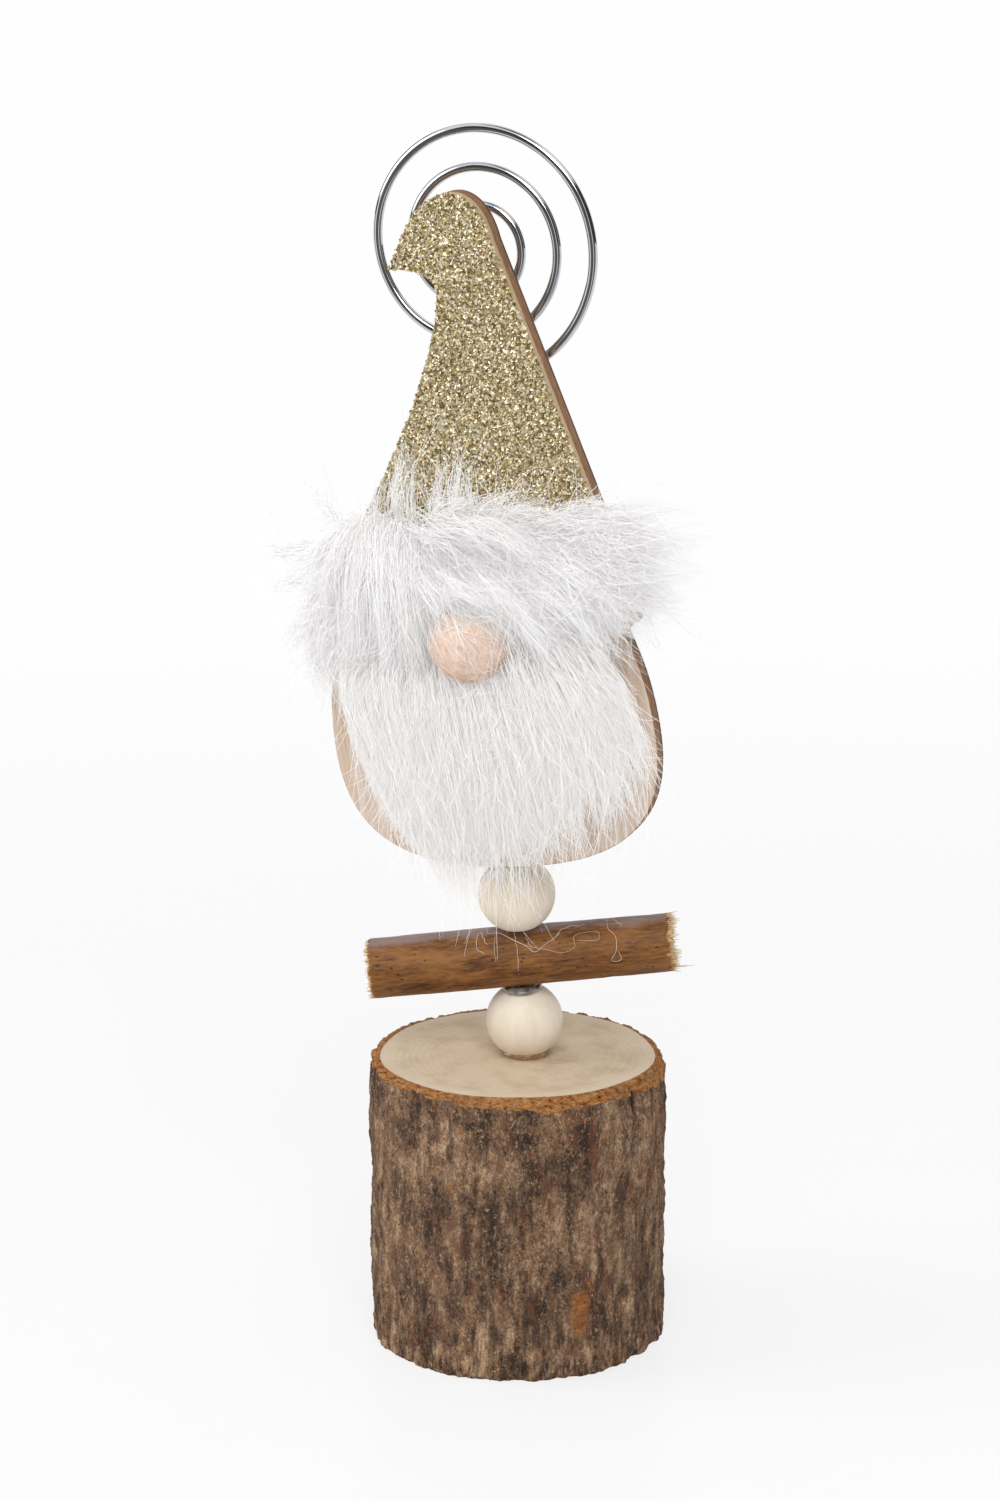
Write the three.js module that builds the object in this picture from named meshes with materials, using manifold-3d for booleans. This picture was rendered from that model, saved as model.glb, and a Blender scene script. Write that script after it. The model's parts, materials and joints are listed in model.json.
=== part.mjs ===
// Gnome photo holder: a log foot, a chromed wire with a flat spiral clip, two beads, a twig and a plywood gnome.
// Millimetres, +Z up. The gnome faces -Y, and the origin is the centre of the log's flat foot.

import * as THREE from "three";
import { mergeVertices } from "three/addons/utils/BufferGeometryUtils.js";
import Module from "manifold-3d";

const wasm = await Module();
wasm.setup();

const rad = THREE.MathUtils.degToRad;

// Clearance that neighbouring pieces keep.
const GAP = 0.3;

// Log.
const LOG_HEIGHT = 53.5;
const LOG_TOP_RADIUS = 27.1;
const LOG_FOOT_RADIUS = 27.0;
const LOG_SIDES = 48;
const BARK_THICKNESS = 2.0;
const BARK_TOP_CHAMFER = 1.2;
const BARK_FOOT_CHAMFER = 0.6;
const LOBES = [
  { count: 2, height: 0.3, phase: 0.6 },
  { count: 3, height: 0.2, phase: 1.9 },
  { count: 7, height: 0.15, phase: 0.4 },
];

// Wire: a stem that leans out of the log, bent into a flat spiral that winds inwards.
const WIRE_RADIUS = 0.8;
const WIRE_SIDES = 8;
const STEM_X = 1.77;
const STEM_LEAN_FORWARD = 4.0;
const STEM_LEAN_LEFT = 2.07;
const STEM_SUNK = 25;
const SPIRAL_CENTRE = { x: -0.2, z: 147.8 };
const SPIRAL_RADIUS = 21.3;
const SPIRAL_PITCH = 6.5;
const SPIRAL_START = -80;
const SPIRAL_END = 900;
const SPIRAL_STEP = 15;
const BEND_STEPS = 6;

// Glue sleeve in the log's drilled hole.
const SLEEVE_WALL = 0.6;
const SLEEVE_INSIDE = WIRE_RADIUS + GAP;
const HOLE_RADIUS = SLEEVE_INSIDE + SLEEVE_WALL + GAP;
const HOLE_SPARE_DEPTH = 1;

// Beads, with their places along the stem above the log's top.
const BEAD_RADIUS = 7;
const BEAD_HEIGHT = 12.4;
const BEAD_BORE = 1.4;
const LOWER_BEAD_Z = 6.6;
const UPPER_BEAD_Z = 30.95;

// Twig across the stem.
const TWIG_RADIUS = 5.5;
const TWIG_LENGTH = 56;
const TWIG_BARK = 0.6;
const TWIG_BARK_GAP = 0.15;
const TWIG_Z = 19.05;
const TWIG_YAW = 21;
const TWIG_TILT = 2.5;
const TWIG_BORE = 1.4;
const TWIG_SIDES = 24;
const TWIG_CORE_PROUD = 0.8;
const TWIG_GLUE_RADIUS = 3.6;
const TWIG_GLUE_THICKNESS = 1.1;

// Gnome: flat layers on the front of the stem, turned a little on it.
const GNOME_AT = { x: 0.89, z: 37.4 };
const GNOME_ROLL = 5;
const BOARD_BACK = -(WIRE_RADIUS + GAP);
const BOARD_THICKNESS = 3.0;
const SHEET_THICKNESS = 1.5;
const BACKING_THICKNESS = 1.2;
const BODY_HALF_WIDTH = 31.0;
const BODY_BULGE_Z = 23;
const BODY_TOP_HALF_WIDTH = 27.8;
const BODY_TOP_Z = 42;
const HAT_FOOT_Z = 43.2;
const CURVE_STEPS = 10;

// Soft pile, as the space that it fills.
const BRIM_LEFT = -33;
const BRIM_RIGHT = 41;
const BRIM_LEFT_Z = 58.5;
const BRIM_RIGHT_Z = 54.5;
const BRIM_HALF_HEIGHT = 12.3;
const BRIM_DEPTH = 12;
const BEARD_STATIONS = [
  { z: 41, left: -23, right: 26, depth: 6, forward: 0 },
  { z: 33, left: -26, right: 30, depth: 8.5, forward: 0 },
  { z: 20, left: -23, right: 27, depth: 8, forward: 0.2 },
  { z: 8, left: -19, right: 20, depth: 6, forward: 1 },
  { z: 0, left: -14, right: 13, depth: 4, forward: 2.4 },
  { z: -7, left: -6, right: 8, depth: 2, forward: 3.8 },
];
const PILE_SIDES = 24;
const PILE_STEPS = 16;

// Nose.
const NOSE_RADIUS = 7.2;
const NOSE_AT = { x: 3.4, z: 44.4 };

// Glue fillets under the lower bead and behind the nose, with the thin film that parts them from the ball.
const BEAD_FILLET = { inner: 3.2, foot: 4.1, rim: 4.8, height: 1.25 };
const NOSE_FILLET = { inner: 3.5, foot: 5.0, rim: 4.6, height: 1.2 };
const FILM = 0.12;

// Glue dabs on the back of the board.
const DAB = { halfWidth: 4.5, depth: 2.8, halfHeight: 7.5 };
const LOWER_DAB_Z = 54;
const UPPER_DAB_Z = 104;

const FINISH = {
  sapwood: { color: 0xcdb893, roughness: 0.75, metalness: 0 },
  bark: { color: 0x5a4a3c, roughness: 0.95, metalness: 0 },
  chrome: { color: 0xc8ccd0, roughness: 0.12, metalness: 1 },
  bead: { color: 0xead9bf, roughness: 0.5, metalness: 0 },
  twigBark: { color: 0x6b4422, roughness: 0.55, metalness: 0 },
  twigWood: { color: 0xcda46a, roughness: 0.85, metalness: 0 },
  plywood: { color: 0xd2b089, roughness: 0.7, metalness: 0 },
  glitter: { color: 0xc9b36a, roughness: 0.35, metalness: 0.8 },
  pile: { color: 0xf2f3f2, roughness: 0.9, metalness: 0 },
  backing: { color: 0xe9e6df, roughness: 0.95, metalness: 0 },
  felt: { color: 0xf3cdb2, roughness: 0.95, metalness: 0 },
  amberGlue: { color: 0x9a6230, roughness: 0.3, metalness: 0 },
  clearGlue: { color: 0xb9b6ae, roughness: 0.2, metalness: 0 },
};

// A closed geometry as a solid that can be cut and joined.
function solid(geometry) {
  const bare = geometry.clone();
  bare.deleteAttribute("normal");
  bare.deleteAttribute("uv");
  const merged = mergeVertices(bare);
  const mesh = new wasm.Mesh({
    numProp: 3,
    vertProperties: new Float32Array(merged.attributes.position.array),
    triVerts: new Uint32Array(merged.index.array),
  });
  return new wasm.Manifold(mesh);
}

function geometryOf(body) {
  const mesh = body.getMesh();
  const geometry = new THREE.BufferGeometry();
  geometry.setAttribute("position", new THREE.BufferAttribute(mesh.vertProperties, 3));
  geometry.setIndex(new THREE.BufferAttribute(mesh.triVerts, 1));
  geometry.computeVertexNormals();
  return geometry;
}

function piece(name, geometry, finish) {
  const mesh = new THREE.Mesh(geometry, new THREE.MeshStandardMaterial(FINISH[finish]));
  mesh.name = name;
  return mesh;
}

// A closed solid through rings of points that run anticlockwise seen from the last ring.
function loft(rings) {
  const sides = rings[0].length;
  const points = rings.flat();
  const faces = [];
  for (let ring = 0; ring + 1 < rings.length; ring += 1) {
    for (let side = 0; side < sides; side += 1) {
      const next = (side + 1) % sides;
      const a = ring * sides + side;
      const b = ring * sides + next;
      faces.push(a, b, b + sides, a, b + sides, a + sides);
    }
  }
  const last = (rings.length - 1) * sides;
  for (let side = 1; side + 1 < sides; side += 1) {
    faces.push(0, side + 1, side);
    faces.push(last, last + side, last + side + 1);
  }
  const geometry = new THREE.BufferGeometry().setFromPoints(points);
  geometry.setIndex(faces);
  geometry.computeVertexNormals();
  return geometry;
}

// Points of a closed ring, one for each side, from a function of the angle.
function ringOf(sides, pointAt) {
  return Array.from({ length: sides }, (_, side) => pointAt((2 * Math.PI * side) / sides));
}

// A solid turned round Z from a closed profile of [radius, z] points that runs up on its outer side.
function turned(profile, sides) {
  const points = [...profile, profile[0]].map(([radius, z]) => new THREE.Vector2(radius, z));
  return new THREE.LatheGeometry(points, sides).rotateX(Math.PI / 2);
}

function rod(radius, from, to, sides = 16) {
  const length = to - from;
  return new THREE.CylinderGeometry(radius, radius, length, sides)
    .rotateX(Math.PI / 2)
    .translate(0, 0, from + length / 2);
}

// A flat piece in the gnome's XZ plane, from its back face towards -Y.
function plate(shape, back, thickness) {
  const options = { depth: thickness, bevelEnabled: false, curveSegments: CURVE_STEPS };
  return new THREE.ExtrudeGeometry(shape, options).rotateX(Math.PI / 2).translate(0, back, 0);
}

// Log: an uneven round, drilled along the leaning stem.
function logRadius(angle, height) {
  const taper = THREE.MathUtils.lerp(LOG_FOOT_RADIUS, LOG_TOP_RADIUS, height / LOG_HEIGHT);
  return LOBES.reduce((sum, lobe) => sum + lobe.height * Math.sin(lobe.count * angle + lobe.phase), taper);
}

function logRing(height, inset, z = height) {
  return ringOf(LOG_SIDES, (angle) => {
    const radius = logRadius(angle, height) - inset;
    return new THREE.Vector3(radius * Math.cos(angle), radius * Math.sin(angle), z);
  });
}

function makeLogWood(stemMatrix) {
  const inset = BARK_THICKNESS + GAP;
  const body = solid(loft([logRing(0, inset), logRing(LOG_HEIGHT, inset)]));
  const hole = rod(HOLE_RADIUS, -STEM_SUNK - HOLE_SPARE_DEPTH, HOLE_RADIUS).applyMatrix4(stemMatrix);
  return geometryOf(body.subtract(solid(hole)));
}

function makeLogBark() {
  const shoulder = LOG_HEIGHT - BARK_TOP_CHAMFER;
  const outside = loft([
    logRing(0, BARK_FOOT_CHAMFER),
    logRing(BARK_FOOT_CHAMFER, 0),
    logRing(shoulder, 0),
    logRing(LOG_HEIGHT, BARK_TOP_CHAMFER),
  ]);
  const inside = loft([
    logRing(0, BARK_THICKNESS, -1),
    logRing(LOG_HEIGHT, BARK_THICKNESS, LOG_HEIGHT + 1),
  ]);
  return geometryOf(solid(outside).subtract(solid(inside)));
}

// Wire: points of its centre line in the stem's own XZ plane.
function spiralRadius(degrees) {
  return SPIRAL_RADIUS - (SPIRAL_PITCH * degrees) / 360;
}

function spiralPoint(degrees) {
  const radius = spiralRadius(degrees);
  const x = SPIRAL_CENTRE.x + radius * Math.cos(rad(degrees));
  const z = SPIRAL_CENTRE.z + radius * Math.sin(rad(degrees));
  return new THREE.Vector2(x, z);
}

function wirePath() {
  const start = spiralPoint(SPIRAL_START);
  const turn = -rad(SPIRAL_START);
  const bend = start.x / (1 - Math.cos(turn));
  const bendZ = start.y - bend * Math.sin(turn);
  const path = [new THREE.Vector2(0, -STEM_SUNK)];
  for (let step = 0; step < BEND_STEPS; step += 1) {
    const angle = (turn * step) / BEND_STEPS;
    path.push(new THREE.Vector2(bend * (1 - Math.cos(angle)), bendZ + bend * Math.sin(angle)));
  }
  for (let degrees = SPIRAL_START; degrees <= SPIRAL_END; degrees += SPIRAL_STEP) {
    path.push(spiralPoint(degrees));
  }
  return path;
}

// The least clear distance between stretches of the wire that are a pitch or more apart along it.
function leastGap(path) {
  const run = [0];
  for (let i = 1; i < path.length; i += 1) {
    run.push(run[i - 1] + path[i].distanceTo(path[i - 1]));
  }
  let least = Infinity;
  for (let i = 0; i < path.length; i += 1) {
    for (let j = i + 1; j < path.length; j += 1) {
      if (run[j] - run[i] > 2 * SPIRAL_PITCH) {
        least = Math.min(least, path[i].distanceTo(path[j]) - 2 * WIRE_RADIUS);
      }
    }
  }
  return least;
}

function makeWire() {
  const path = wirePath();
  console.log(`wire: least gap to itself ${leastGap(path).toFixed(2)} mm`);
  const rings = path.map((at, i) => {
    const before = path[Math.max(i - 1, 0)];
    const after = path[Math.min(i + 1, path.length - 1)];
    const along = after.clone().sub(before).normalize();
    return ringOf(WIRE_SIDES, (angle) => {
      const across = WIRE_RADIUS * Math.cos(angle);
      const deep = WIRE_RADIUS * Math.sin(angle);
      return new THREE.Vector3(at.x + across * along.y, deep, at.y - across * along.x);
    });
  });
  return loft(rings);
}

function makeStemGlue() {
  const outside = SLEEVE_INSIDE + SLEEVE_WALL;
  const top = -GAP;
  return turned([[SLEEVE_INSIDE, -STEM_SUNK], [outside, -STEM_SUNK], [outside, top], [SLEEVE_INSIDE, top]], 16);
}

// Bead: a ball with flat ends and a bore, centred on the origin.
function makeBead() {
  const half = BEAD_HEIGHT / 2;
  const end = Math.asin(half / BEAD_RADIUS);
  const steps = 8;
  const profile = [[BEAD_BORE, -half]];
  for (let step = 0; step <= steps; step += 1) {
    const angle = THREE.MathUtils.lerp(-end, end, step / steps);
    profile.push([BEAD_RADIUS * Math.cos(angle), BEAD_RADIUS * Math.sin(angle)]);
  }
  profile.push([BEAD_BORE, half]);
  return turned(profile, 24);
}

// A ring of glue on the plane z = 0, under a ball whose centre stands at the given height.
function makeFillet(fillet, ballRadius, ballHeight) {
  const ring = turned(
    [
      [fillet.inner, FILM],
      [fillet.foot, FILM],
      [fillet.rim, fillet.height],
      [fillet.inner, fillet.height],
    ],
    20,
  );
  const ball = new THREE.SphereGeometry(ballRadius + FILM, 24, 24).translate(0, 0, ballHeight);
  return geometryOf(solid(ring).subtract(solid(ball)));
}

// Twig: built along X, with its bore along the stem that it is threaded on.
const twigTurn = new THREE.Euler(0, -rad(TWIG_TILT), rad(TWIG_YAW), "ZYX");

function twigRing(x, radius) {
  return ringOf(TWIG_SIDES, (angle) => {
    const uneven = radius * (1 + 0.015 * Math.sin(2 * angle + 0.09 * x));
    return new THREE.Vector3(x, uneven * Math.cos(angle), uneven * Math.sin(angle));
  });
}

function twigRod(radius, length) {
  const steps = 4;
  const rings = [];
  for (let step = 0; step <= steps; step += 1) {
    rings.push(twigRing(length * (step / steps - 0.5), radius));
  }
  return solid(loft(rings));
}

function twigBore() {
  const back = new THREE.Matrix4().makeRotationFromEuler(twigTurn).invert();
  return solid(rod(TWIG_BORE, -2 * TWIG_RADIUS, 2 * TWIG_RADIUS).applyMatrix4(back));
}

function makeTwigCore() {
  const radius = TWIG_RADIUS - TWIG_BARK - TWIG_BARK_GAP;
  return geometryOf(twigRod(radius, TWIG_LENGTH).subtract(twigBore()));
}

function makeTwigBark() {
  const length = TWIG_LENGTH - 2 * TWIG_CORE_PROUD;
  const inside = twigRod(TWIG_RADIUS - TWIG_BARK, TWIG_LENGTH);
  return geometryOf(twigRod(TWIG_RADIUS, length).subtract(inside).subtract(twigBore()));
}

// Clear glue squeezed out between the lower bead and the twig, in the stem's frame.
function makeTwigGlue() {
  const beadTop = LOWER_BEAD_Z + BEAD_HEIGHT / 2;
  const middle = (beadTop + TWIG_Z - TWIG_RADIUS) / 2;
  const ring = new THREE.TorusGeometry(TWIG_GLUE_RADIUS, TWIG_GLUE_THICKNESS, 8, 20).translate(0, 0, middle);
  const bead = new THREE.SphereGeometry(BEAD_RADIUS + GAP, 24, 24).translate(0, 0, LOWER_BEAD_Z);
  const twigMatrix = new THREE.Matrix4().makeRotationFromEuler(twigTurn).setPosition(0, 0, TWIG_Z);
  const twig = new THREE.CylinderGeometry(TWIG_RADIUS + GAP, TWIG_RADIUS + GAP, TWIG_LENGTH, 24)
    .rotateZ(Math.PI / 2)
    .applyMatrix4(twigMatrix);
  return geometryOf(solid(ring).subtract(solid(bead)).subtract(solid(twig)));
}

// Gnome outlines, from the bottom of the body, anticlockwise seen from the front.
function traceHat(shape) {
  shape.quadraticCurveTo(31.8, HAT_FOOT_Z, 30.8, 47);
  shape.lineTo(14, 111);
  shape.bezierCurveTo(13.3, 116.2, 10.8, 119.8, 7, 119.8);
  shape.bezierCurveTo(1.8, 119.8, -2.2, 114.3, -5.6, 108);
  shape.bezierCurveTo(-2.5, 107.6, 2.6, 107.4, 2.6, 103.5);
  shape.bezierCurveTo(1.8, 94.5, -7.5, 79.3, -13.9, 70.3);
  shape.lineTo(-31.2, 46.4);
  shape.quadraticCurveTo(-33, HAT_FOOT_Z, -BODY_TOP_HALF_WIDTH, HAT_FOOT_Z);
}

function boardShape() {
  const shape = new THREE.Shape();
  shape.moveTo(0, 0);
  shape.bezierCurveTo(20, 0, BODY_HALF_WIDTH, 6, BODY_HALF_WIDTH, BODY_BULGE_Z);
  shape.bezierCurveTo(BODY_HALF_WIDTH, 31, 29.6, 37, BODY_TOP_HALF_WIDTH, BODY_TOP_Z);
  shape.lineTo(BODY_TOP_HALF_WIDTH, HAT_FOOT_Z);
  traceHat(shape);
  shape.lineTo(-BODY_TOP_HALF_WIDTH, BODY_TOP_Z);
  shape.bezierCurveTo(-29.6, 37, -BODY_HALF_WIDTH, 31, -BODY_HALF_WIDTH, BODY_BULGE_Z);
  shape.bezierCurveTo(-BODY_HALF_WIDTH, 6, -20, 0, 0, 0);
  return shape;
}

function hatShape() {
  const shape = new THREE.Shape();
  shape.moveTo(BODY_TOP_HALF_WIDTH, HAT_FOOT_Z);
  traceHat(shape);
  return shape;
}

function brimBackingShape() {
  const shape = new THREE.Shape();
  shape.moveTo(-27.5, 50);
  shape.lineTo(29, 50);
  shape.lineTo(26, 62.5);
  shape.lineTo(-18.6, 62.5);
  return shape;
}

function beardBackingShape() {
  const shape = new THREE.Shape();
  shape.moveTo(-22, 40);
  shape.quadraticCurveTo(-20, 12, 0, 8);
  shape.quadraticCurveTo(22, 12, 25, 40);
  return shape;
}

// Faces of the gnome's layers, from the back to the front.
const boardFront = BOARD_BACK - BOARD_THICKNESS;
const sheetBack = boardFront - GAP;
const sheetFront = sheetBack - SHEET_THICKNESS;
const brimBackingBack = sheetFront - GAP;
const brimPileBack = brimBackingBack - BACKING_THICKNESS - GAP;
const beardBackingBack = boardFront - GAP;
const beardPileBack = beardBackingBack - BACKING_THICKNESS - GAP;
const noseY = sheetFront - GAP - NOSE_RADIUS;

// The room that the pile leaves for the nose and for the glue behind it.
function noseClearance() {
  const ball = new THREE.SphereGeometry(NOSE_RADIUS + GAP, 32, 24);
  const behind = rod(NOSE_FILLET.foot + GAP, 0, boardFront - noseY).rotateX(-Math.PI / 2);
  return solid(ball).add(solid(behind)).translate(NOSE_AT.x, noseY, NOSE_AT.z);
}

// Brim pile: a bolster across the hat that is rounded at both ends.
function makeBrimPile() {
  const rings = [];
  for (let step = 0; step <= PILE_STEPS; step += 1) {
    const share = step / PILE_STEPS;
    const x = THREE.MathUtils.lerp(BRIM_LEFT, BRIM_RIGHT, share);
    const z = THREE.MathUtils.lerp(BRIM_LEFT_Z, BRIM_RIGHT_Z, share);
    const fullness = Math.max(1 - Math.abs(2 * share - 1) ** 3, 0.04) ** 0.5;
    const halfDepth = (BRIM_DEPTH / 2) * fullness;
    const y = brimPileBack - BRIM_DEPTH / 2;
    rings.push(
      ringOf(PILE_SIDES, (angle) => {
        const up = BRIM_HALF_HEIGHT * fullness * Math.sin(angle);
        return new THREE.Vector3(x, y + halfDepth * Math.cos(angle), z + up);
      }),
    );
  }
  return geometryOf(solid(loft(rings)).subtract(noseClearance()));
}

// Beard pile: a tapering lock that hangs down the front of the board.
function makeBeardPile() {
  const sizes = ["left", "right", "depth", "forward"].map((size) => {
    const points = BEARD_STATIONS.map((station) => new THREE.Vector2(station.z, station[size]));
    return new THREE.SplineCurve(points);
  });
  const rings = [];
  for (let step = 0; step <= PILE_STEPS; step += 1) {
    const [left, right, depth, forward] = sizes.map((curve) => curve.getPoint(1 - step / PILE_STEPS));
    const halfWidth = (right.y - left.y) / 2;
    const middle = (right.y + left.y) / 2;
    rings.push(
      ringOf(PILE_SIDES, (angle) => {
        const y = beardPileBack - forward.y - (depth.y / 2) * (1 - Math.sin(angle));
        return new THREE.Vector3(middle + halfWidth * Math.cos(angle), y, left.x);
      }),
    );
  }
  return geometryOf(solid(loft(rings)).subtract(noseClearance()));
}

// A dab of glue over the stem, on the back of the board.
function makeDab() {
  const ball = new THREE.SphereGeometry(1, 20, 14).scale(DAB.halfWidth, DAB.depth, DAB.halfHeight);
  const room = 4 * DAB.halfHeight;
  const behind = new THREE.BoxGeometry(room, room, room).translate(0, room / 2, 0);
  const dome = solid(ball).intersect(solid(behind)).translate(0, BOARD_BACK + GAP, 0);
  const tunnel = solid(rod(WIRE_RADIUS + GAP, -room / 2, room / 2));
  return geometryOf(dome.subtract(tunnel));
}

// Assembly.
const holder = new THREE.Group();
const stem = new THREE.Group();
stem.position.set(STEM_X, 0, LOG_HEIGHT);
stem.rotation.set(rad(STEM_LEAN_FORWARD), -rad(STEM_LEAN_LEFT), 0);
stem.updateMatrix();
holder.add(stem);

holder.add(piece("log_wood", makeLogWood(stem.matrix), "sapwood"));
holder.add(piece("log_bark", makeLogBark(), "bark"));

const beadFoot = new THREE.Vector3(0, 0, LOWER_BEAD_Z).applyMatrix4(stem.matrix);
const beadFillet = makeFillet(BEAD_FILLET, BEAD_RADIUS, beadFoot.z - LOG_HEIGHT);
const beadGlue = piece("lower_bead_glue", beadFillet, "amberGlue");
beadGlue.position.set(beadFoot.x, beadFoot.y, LOG_HEIGHT);
holder.add(beadGlue);

stem.add(piece("photo_clip_wire", makeWire(), "chrome"));
stem.add(piece("stem_glue", makeStemGlue(), "amberGlue"));

const lowerBead = piece("lower_bead", makeBead(), "bead");
lowerBead.position.z = LOWER_BEAD_Z;
const upperBead = piece("upper_bead", makeBead(), "bead");
upperBead.position.z = UPPER_BEAD_Z;
stem.add(lowerBead, upperBead);

const twig = new THREE.Group();
twig.position.z = TWIG_Z;
twig.rotation.copy(twigTurn);
twig.add(piece("twig_core", makeTwigCore(), "twigWood"));
twig.add(piece("twig_bark", makeTwigBark(), "twigBark"));
stem.add(twig, piece("twig_glue", makeTwigGlue(), "clearGlue"));

const lowerDab = piece("wire_glue_lower", makeDab(), "clearGlue");
lowerDab.position.z = LOWER_DAB_Z;
const upperDab = piece("wire_glue_upper", makeDab(), "clearGlue");
upperDab.position.z = UPPER_DAB_Z;
stem.add(lowerDab, upperDab);

const gnome = new THREE.Group();
gnome.position.set(GNOME_AT.x, 0, GNOME_AT.z);
gnome.rotation.y = -rad(GNOME_ROLL);
stem.add(gnome);

gnome.add(piece("gnome_board", plate(boardShape(), BOARD_BACK, BOARD_THICKNESS), "plywood"));
gnome.add(piece("glitter_sheet", plate(hatShape(), sheetBack, SHEET_THICKNESS), "glitter"));
gnome.add(piece("brim_backing", plate(brimBackingShape(), brimBackingBack, BACKING_THICKNESS), "backing"));
gnome.add(piece("beard_backing", plate(beardBackingShape(), beardBackingBack, BACKING_THICKNESS), "backing"));
gnome.add(piece("brim_fur", makeBrimPile(), "pile"));
gnome.add(piece("beard_fur", makeBeardPile(), "pile"));

const nose = piece("nose", new THREE.SphereGeometry(NOSE_RADIUS, 24, 16), "felt");
nose.position.set(NOSE_AT.x, noseY, NOSE_AT.z);
const noseFillet = makeFillet(NOSE_FILLET, NOSE_RADIUS, NOSE_RADIUS + GAP);
const noseGlue = piece("nose_glue", noseFillet, "clearGlue");
noseGlue.position.set(NOSE_AT.x, sheetFront, NOSE_AT.z);
noseGlue.rotation.x = Math.PI / 2;
gnome.add(nose, noseGlue);

export default holder;
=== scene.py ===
"""Gnome photo holder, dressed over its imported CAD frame.

A log with its bark on carries a leaning chromed wire that ends in a flat spiral. Two turned beads, a twig
and a plywood gnome with a glitter hat, a fur brim, a fur beard and a felt nose sit on the wire. Sizes are
in millimetres in the frame of each piece, and the meshes are placed in metres in the frame of the CAD model.
"""

from __future__ import annotations

import json
import logging
import math
from collections.abc import Mapping, Sequence
from dataclasses import dataclass, field
from enum import Enum
from itertools import product
from typing import ClassVar, Union

import bpy
import numpy as np
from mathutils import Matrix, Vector

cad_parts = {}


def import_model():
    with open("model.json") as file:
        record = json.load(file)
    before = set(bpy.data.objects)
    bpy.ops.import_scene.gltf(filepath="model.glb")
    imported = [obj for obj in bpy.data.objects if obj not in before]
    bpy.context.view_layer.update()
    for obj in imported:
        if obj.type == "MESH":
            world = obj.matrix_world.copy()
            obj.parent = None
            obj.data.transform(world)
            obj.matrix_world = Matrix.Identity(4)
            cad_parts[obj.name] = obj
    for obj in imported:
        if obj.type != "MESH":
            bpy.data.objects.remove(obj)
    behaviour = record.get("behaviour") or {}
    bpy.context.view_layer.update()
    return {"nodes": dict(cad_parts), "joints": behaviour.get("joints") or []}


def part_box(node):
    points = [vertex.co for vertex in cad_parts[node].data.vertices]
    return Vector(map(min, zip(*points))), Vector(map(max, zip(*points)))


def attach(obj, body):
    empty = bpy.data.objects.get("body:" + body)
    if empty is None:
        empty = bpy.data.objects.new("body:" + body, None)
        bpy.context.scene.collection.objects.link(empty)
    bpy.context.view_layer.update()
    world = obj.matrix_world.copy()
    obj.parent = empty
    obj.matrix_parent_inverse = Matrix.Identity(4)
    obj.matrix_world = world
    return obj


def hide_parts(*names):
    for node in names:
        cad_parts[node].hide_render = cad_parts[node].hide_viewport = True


LOG = logging.getLogger("gnome_photo_holder")
MM = 0.001
BAKE_MAP = "OFBake"
GRAIN = "grain"
SHADE = "shade"
COLUMNS = 64
GLUE_SIDES = 96
SHARP = math.radians(50)
TURN = 2 * math.pi

Pair = tuple[float, float]
Triple = tuple[float, float, float]
Patch = tuple[float, float, float, float]
Term = Union["Signal", float, int, str, Sequence[float], bpy.types.Material]


class Body(Enum):
    """The CAD bodies that pieces ride on."""

    HOLDER = "holder"
    UPPER_BEAD = "upper_bead"


class Slot(Enum):
    """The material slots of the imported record."""

    SAPWOOD = "sapwood"
    BARK = "bark"
    CHROME_WIRE = "chrome_wire"
    AMBER_GLUE = "amber_glue"
    CLEAR_GLUE = "clear_glue"
    BEAD_WOOD = "bead_wood"
    TWIG_WOOD = "twig_wood"
    TWIG_BARK = "twig_bark"
    PLYWOOD = "plywood"
    GOLD_GLITTER = "gold_glitter"
    KNIT_BACKING = "knit_backing"
    WHITE_PILE = "white_pile"
    PEACH_FELT = "peach_felt"


def linear(code: str) -> tuple[float, float, float, float]:
    """Turn a display colour into the linear colour that nodes take.

    Args:
        code: Six hexadecimal digits after a hash sign.

    Returns:
        Linear red, green and blue, and an alpha of 1.
    """
    shares = [int(code[i : i + 2], 16) / 255 for i in (1, 3, 5)]
    lit = [s / 12.92 if s <= 0.04045 else ((s + 0.055) / 1.055) ** 2.4 for s in shares]
    return (lit[0], lit[1], lit[2], 1.0)


class Signal:
    """One output of a node. Sums on it add Math nodes to the same graph."""

    def __init__(self, graph: Graph, socket: bpy.types.NodeSocket | None) -> None:
        """Keep the graph and the socket."""
        self.graph = graph
        self.socket = socket

    def other(self, name: str | int) -> Signal:
        """Give another output of the same node."""
        return Signal(self.graph, self.socket.node.outputs[name])

    def math(self, operation: str, *terms: Term) -> Signal:
        """Add a Math node whose first term is this signal."""
        return self.graph.math(operation, self, *terms)

    def __add__(self, term: Term) -> Signal:
        """Add."""
        return self.graph.math("ADD", self, term)

    __radd__ = __add__

    def __sub__(self, term: Term) -> Signal:
        """Subtract from this signal."""
        return self.graph.math("SUBTRACT", self, term)

    def __rsub__(self, term: Term) -> Signal:
        """Subtract this signal."""
        return self.graph.math("SUBTRACT", term, self)

    def __mul__(self, term: Term) -> Signal:
        """Multiply."""
        return self.graph.math("MULTIPLY", self, term)

    __rmul__ = __mul__

    def __truediv__(self, term: Term) -> Signal:
        """Divide this signal."""
        return self.graph.math("DIVIDE", self, term)


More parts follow.
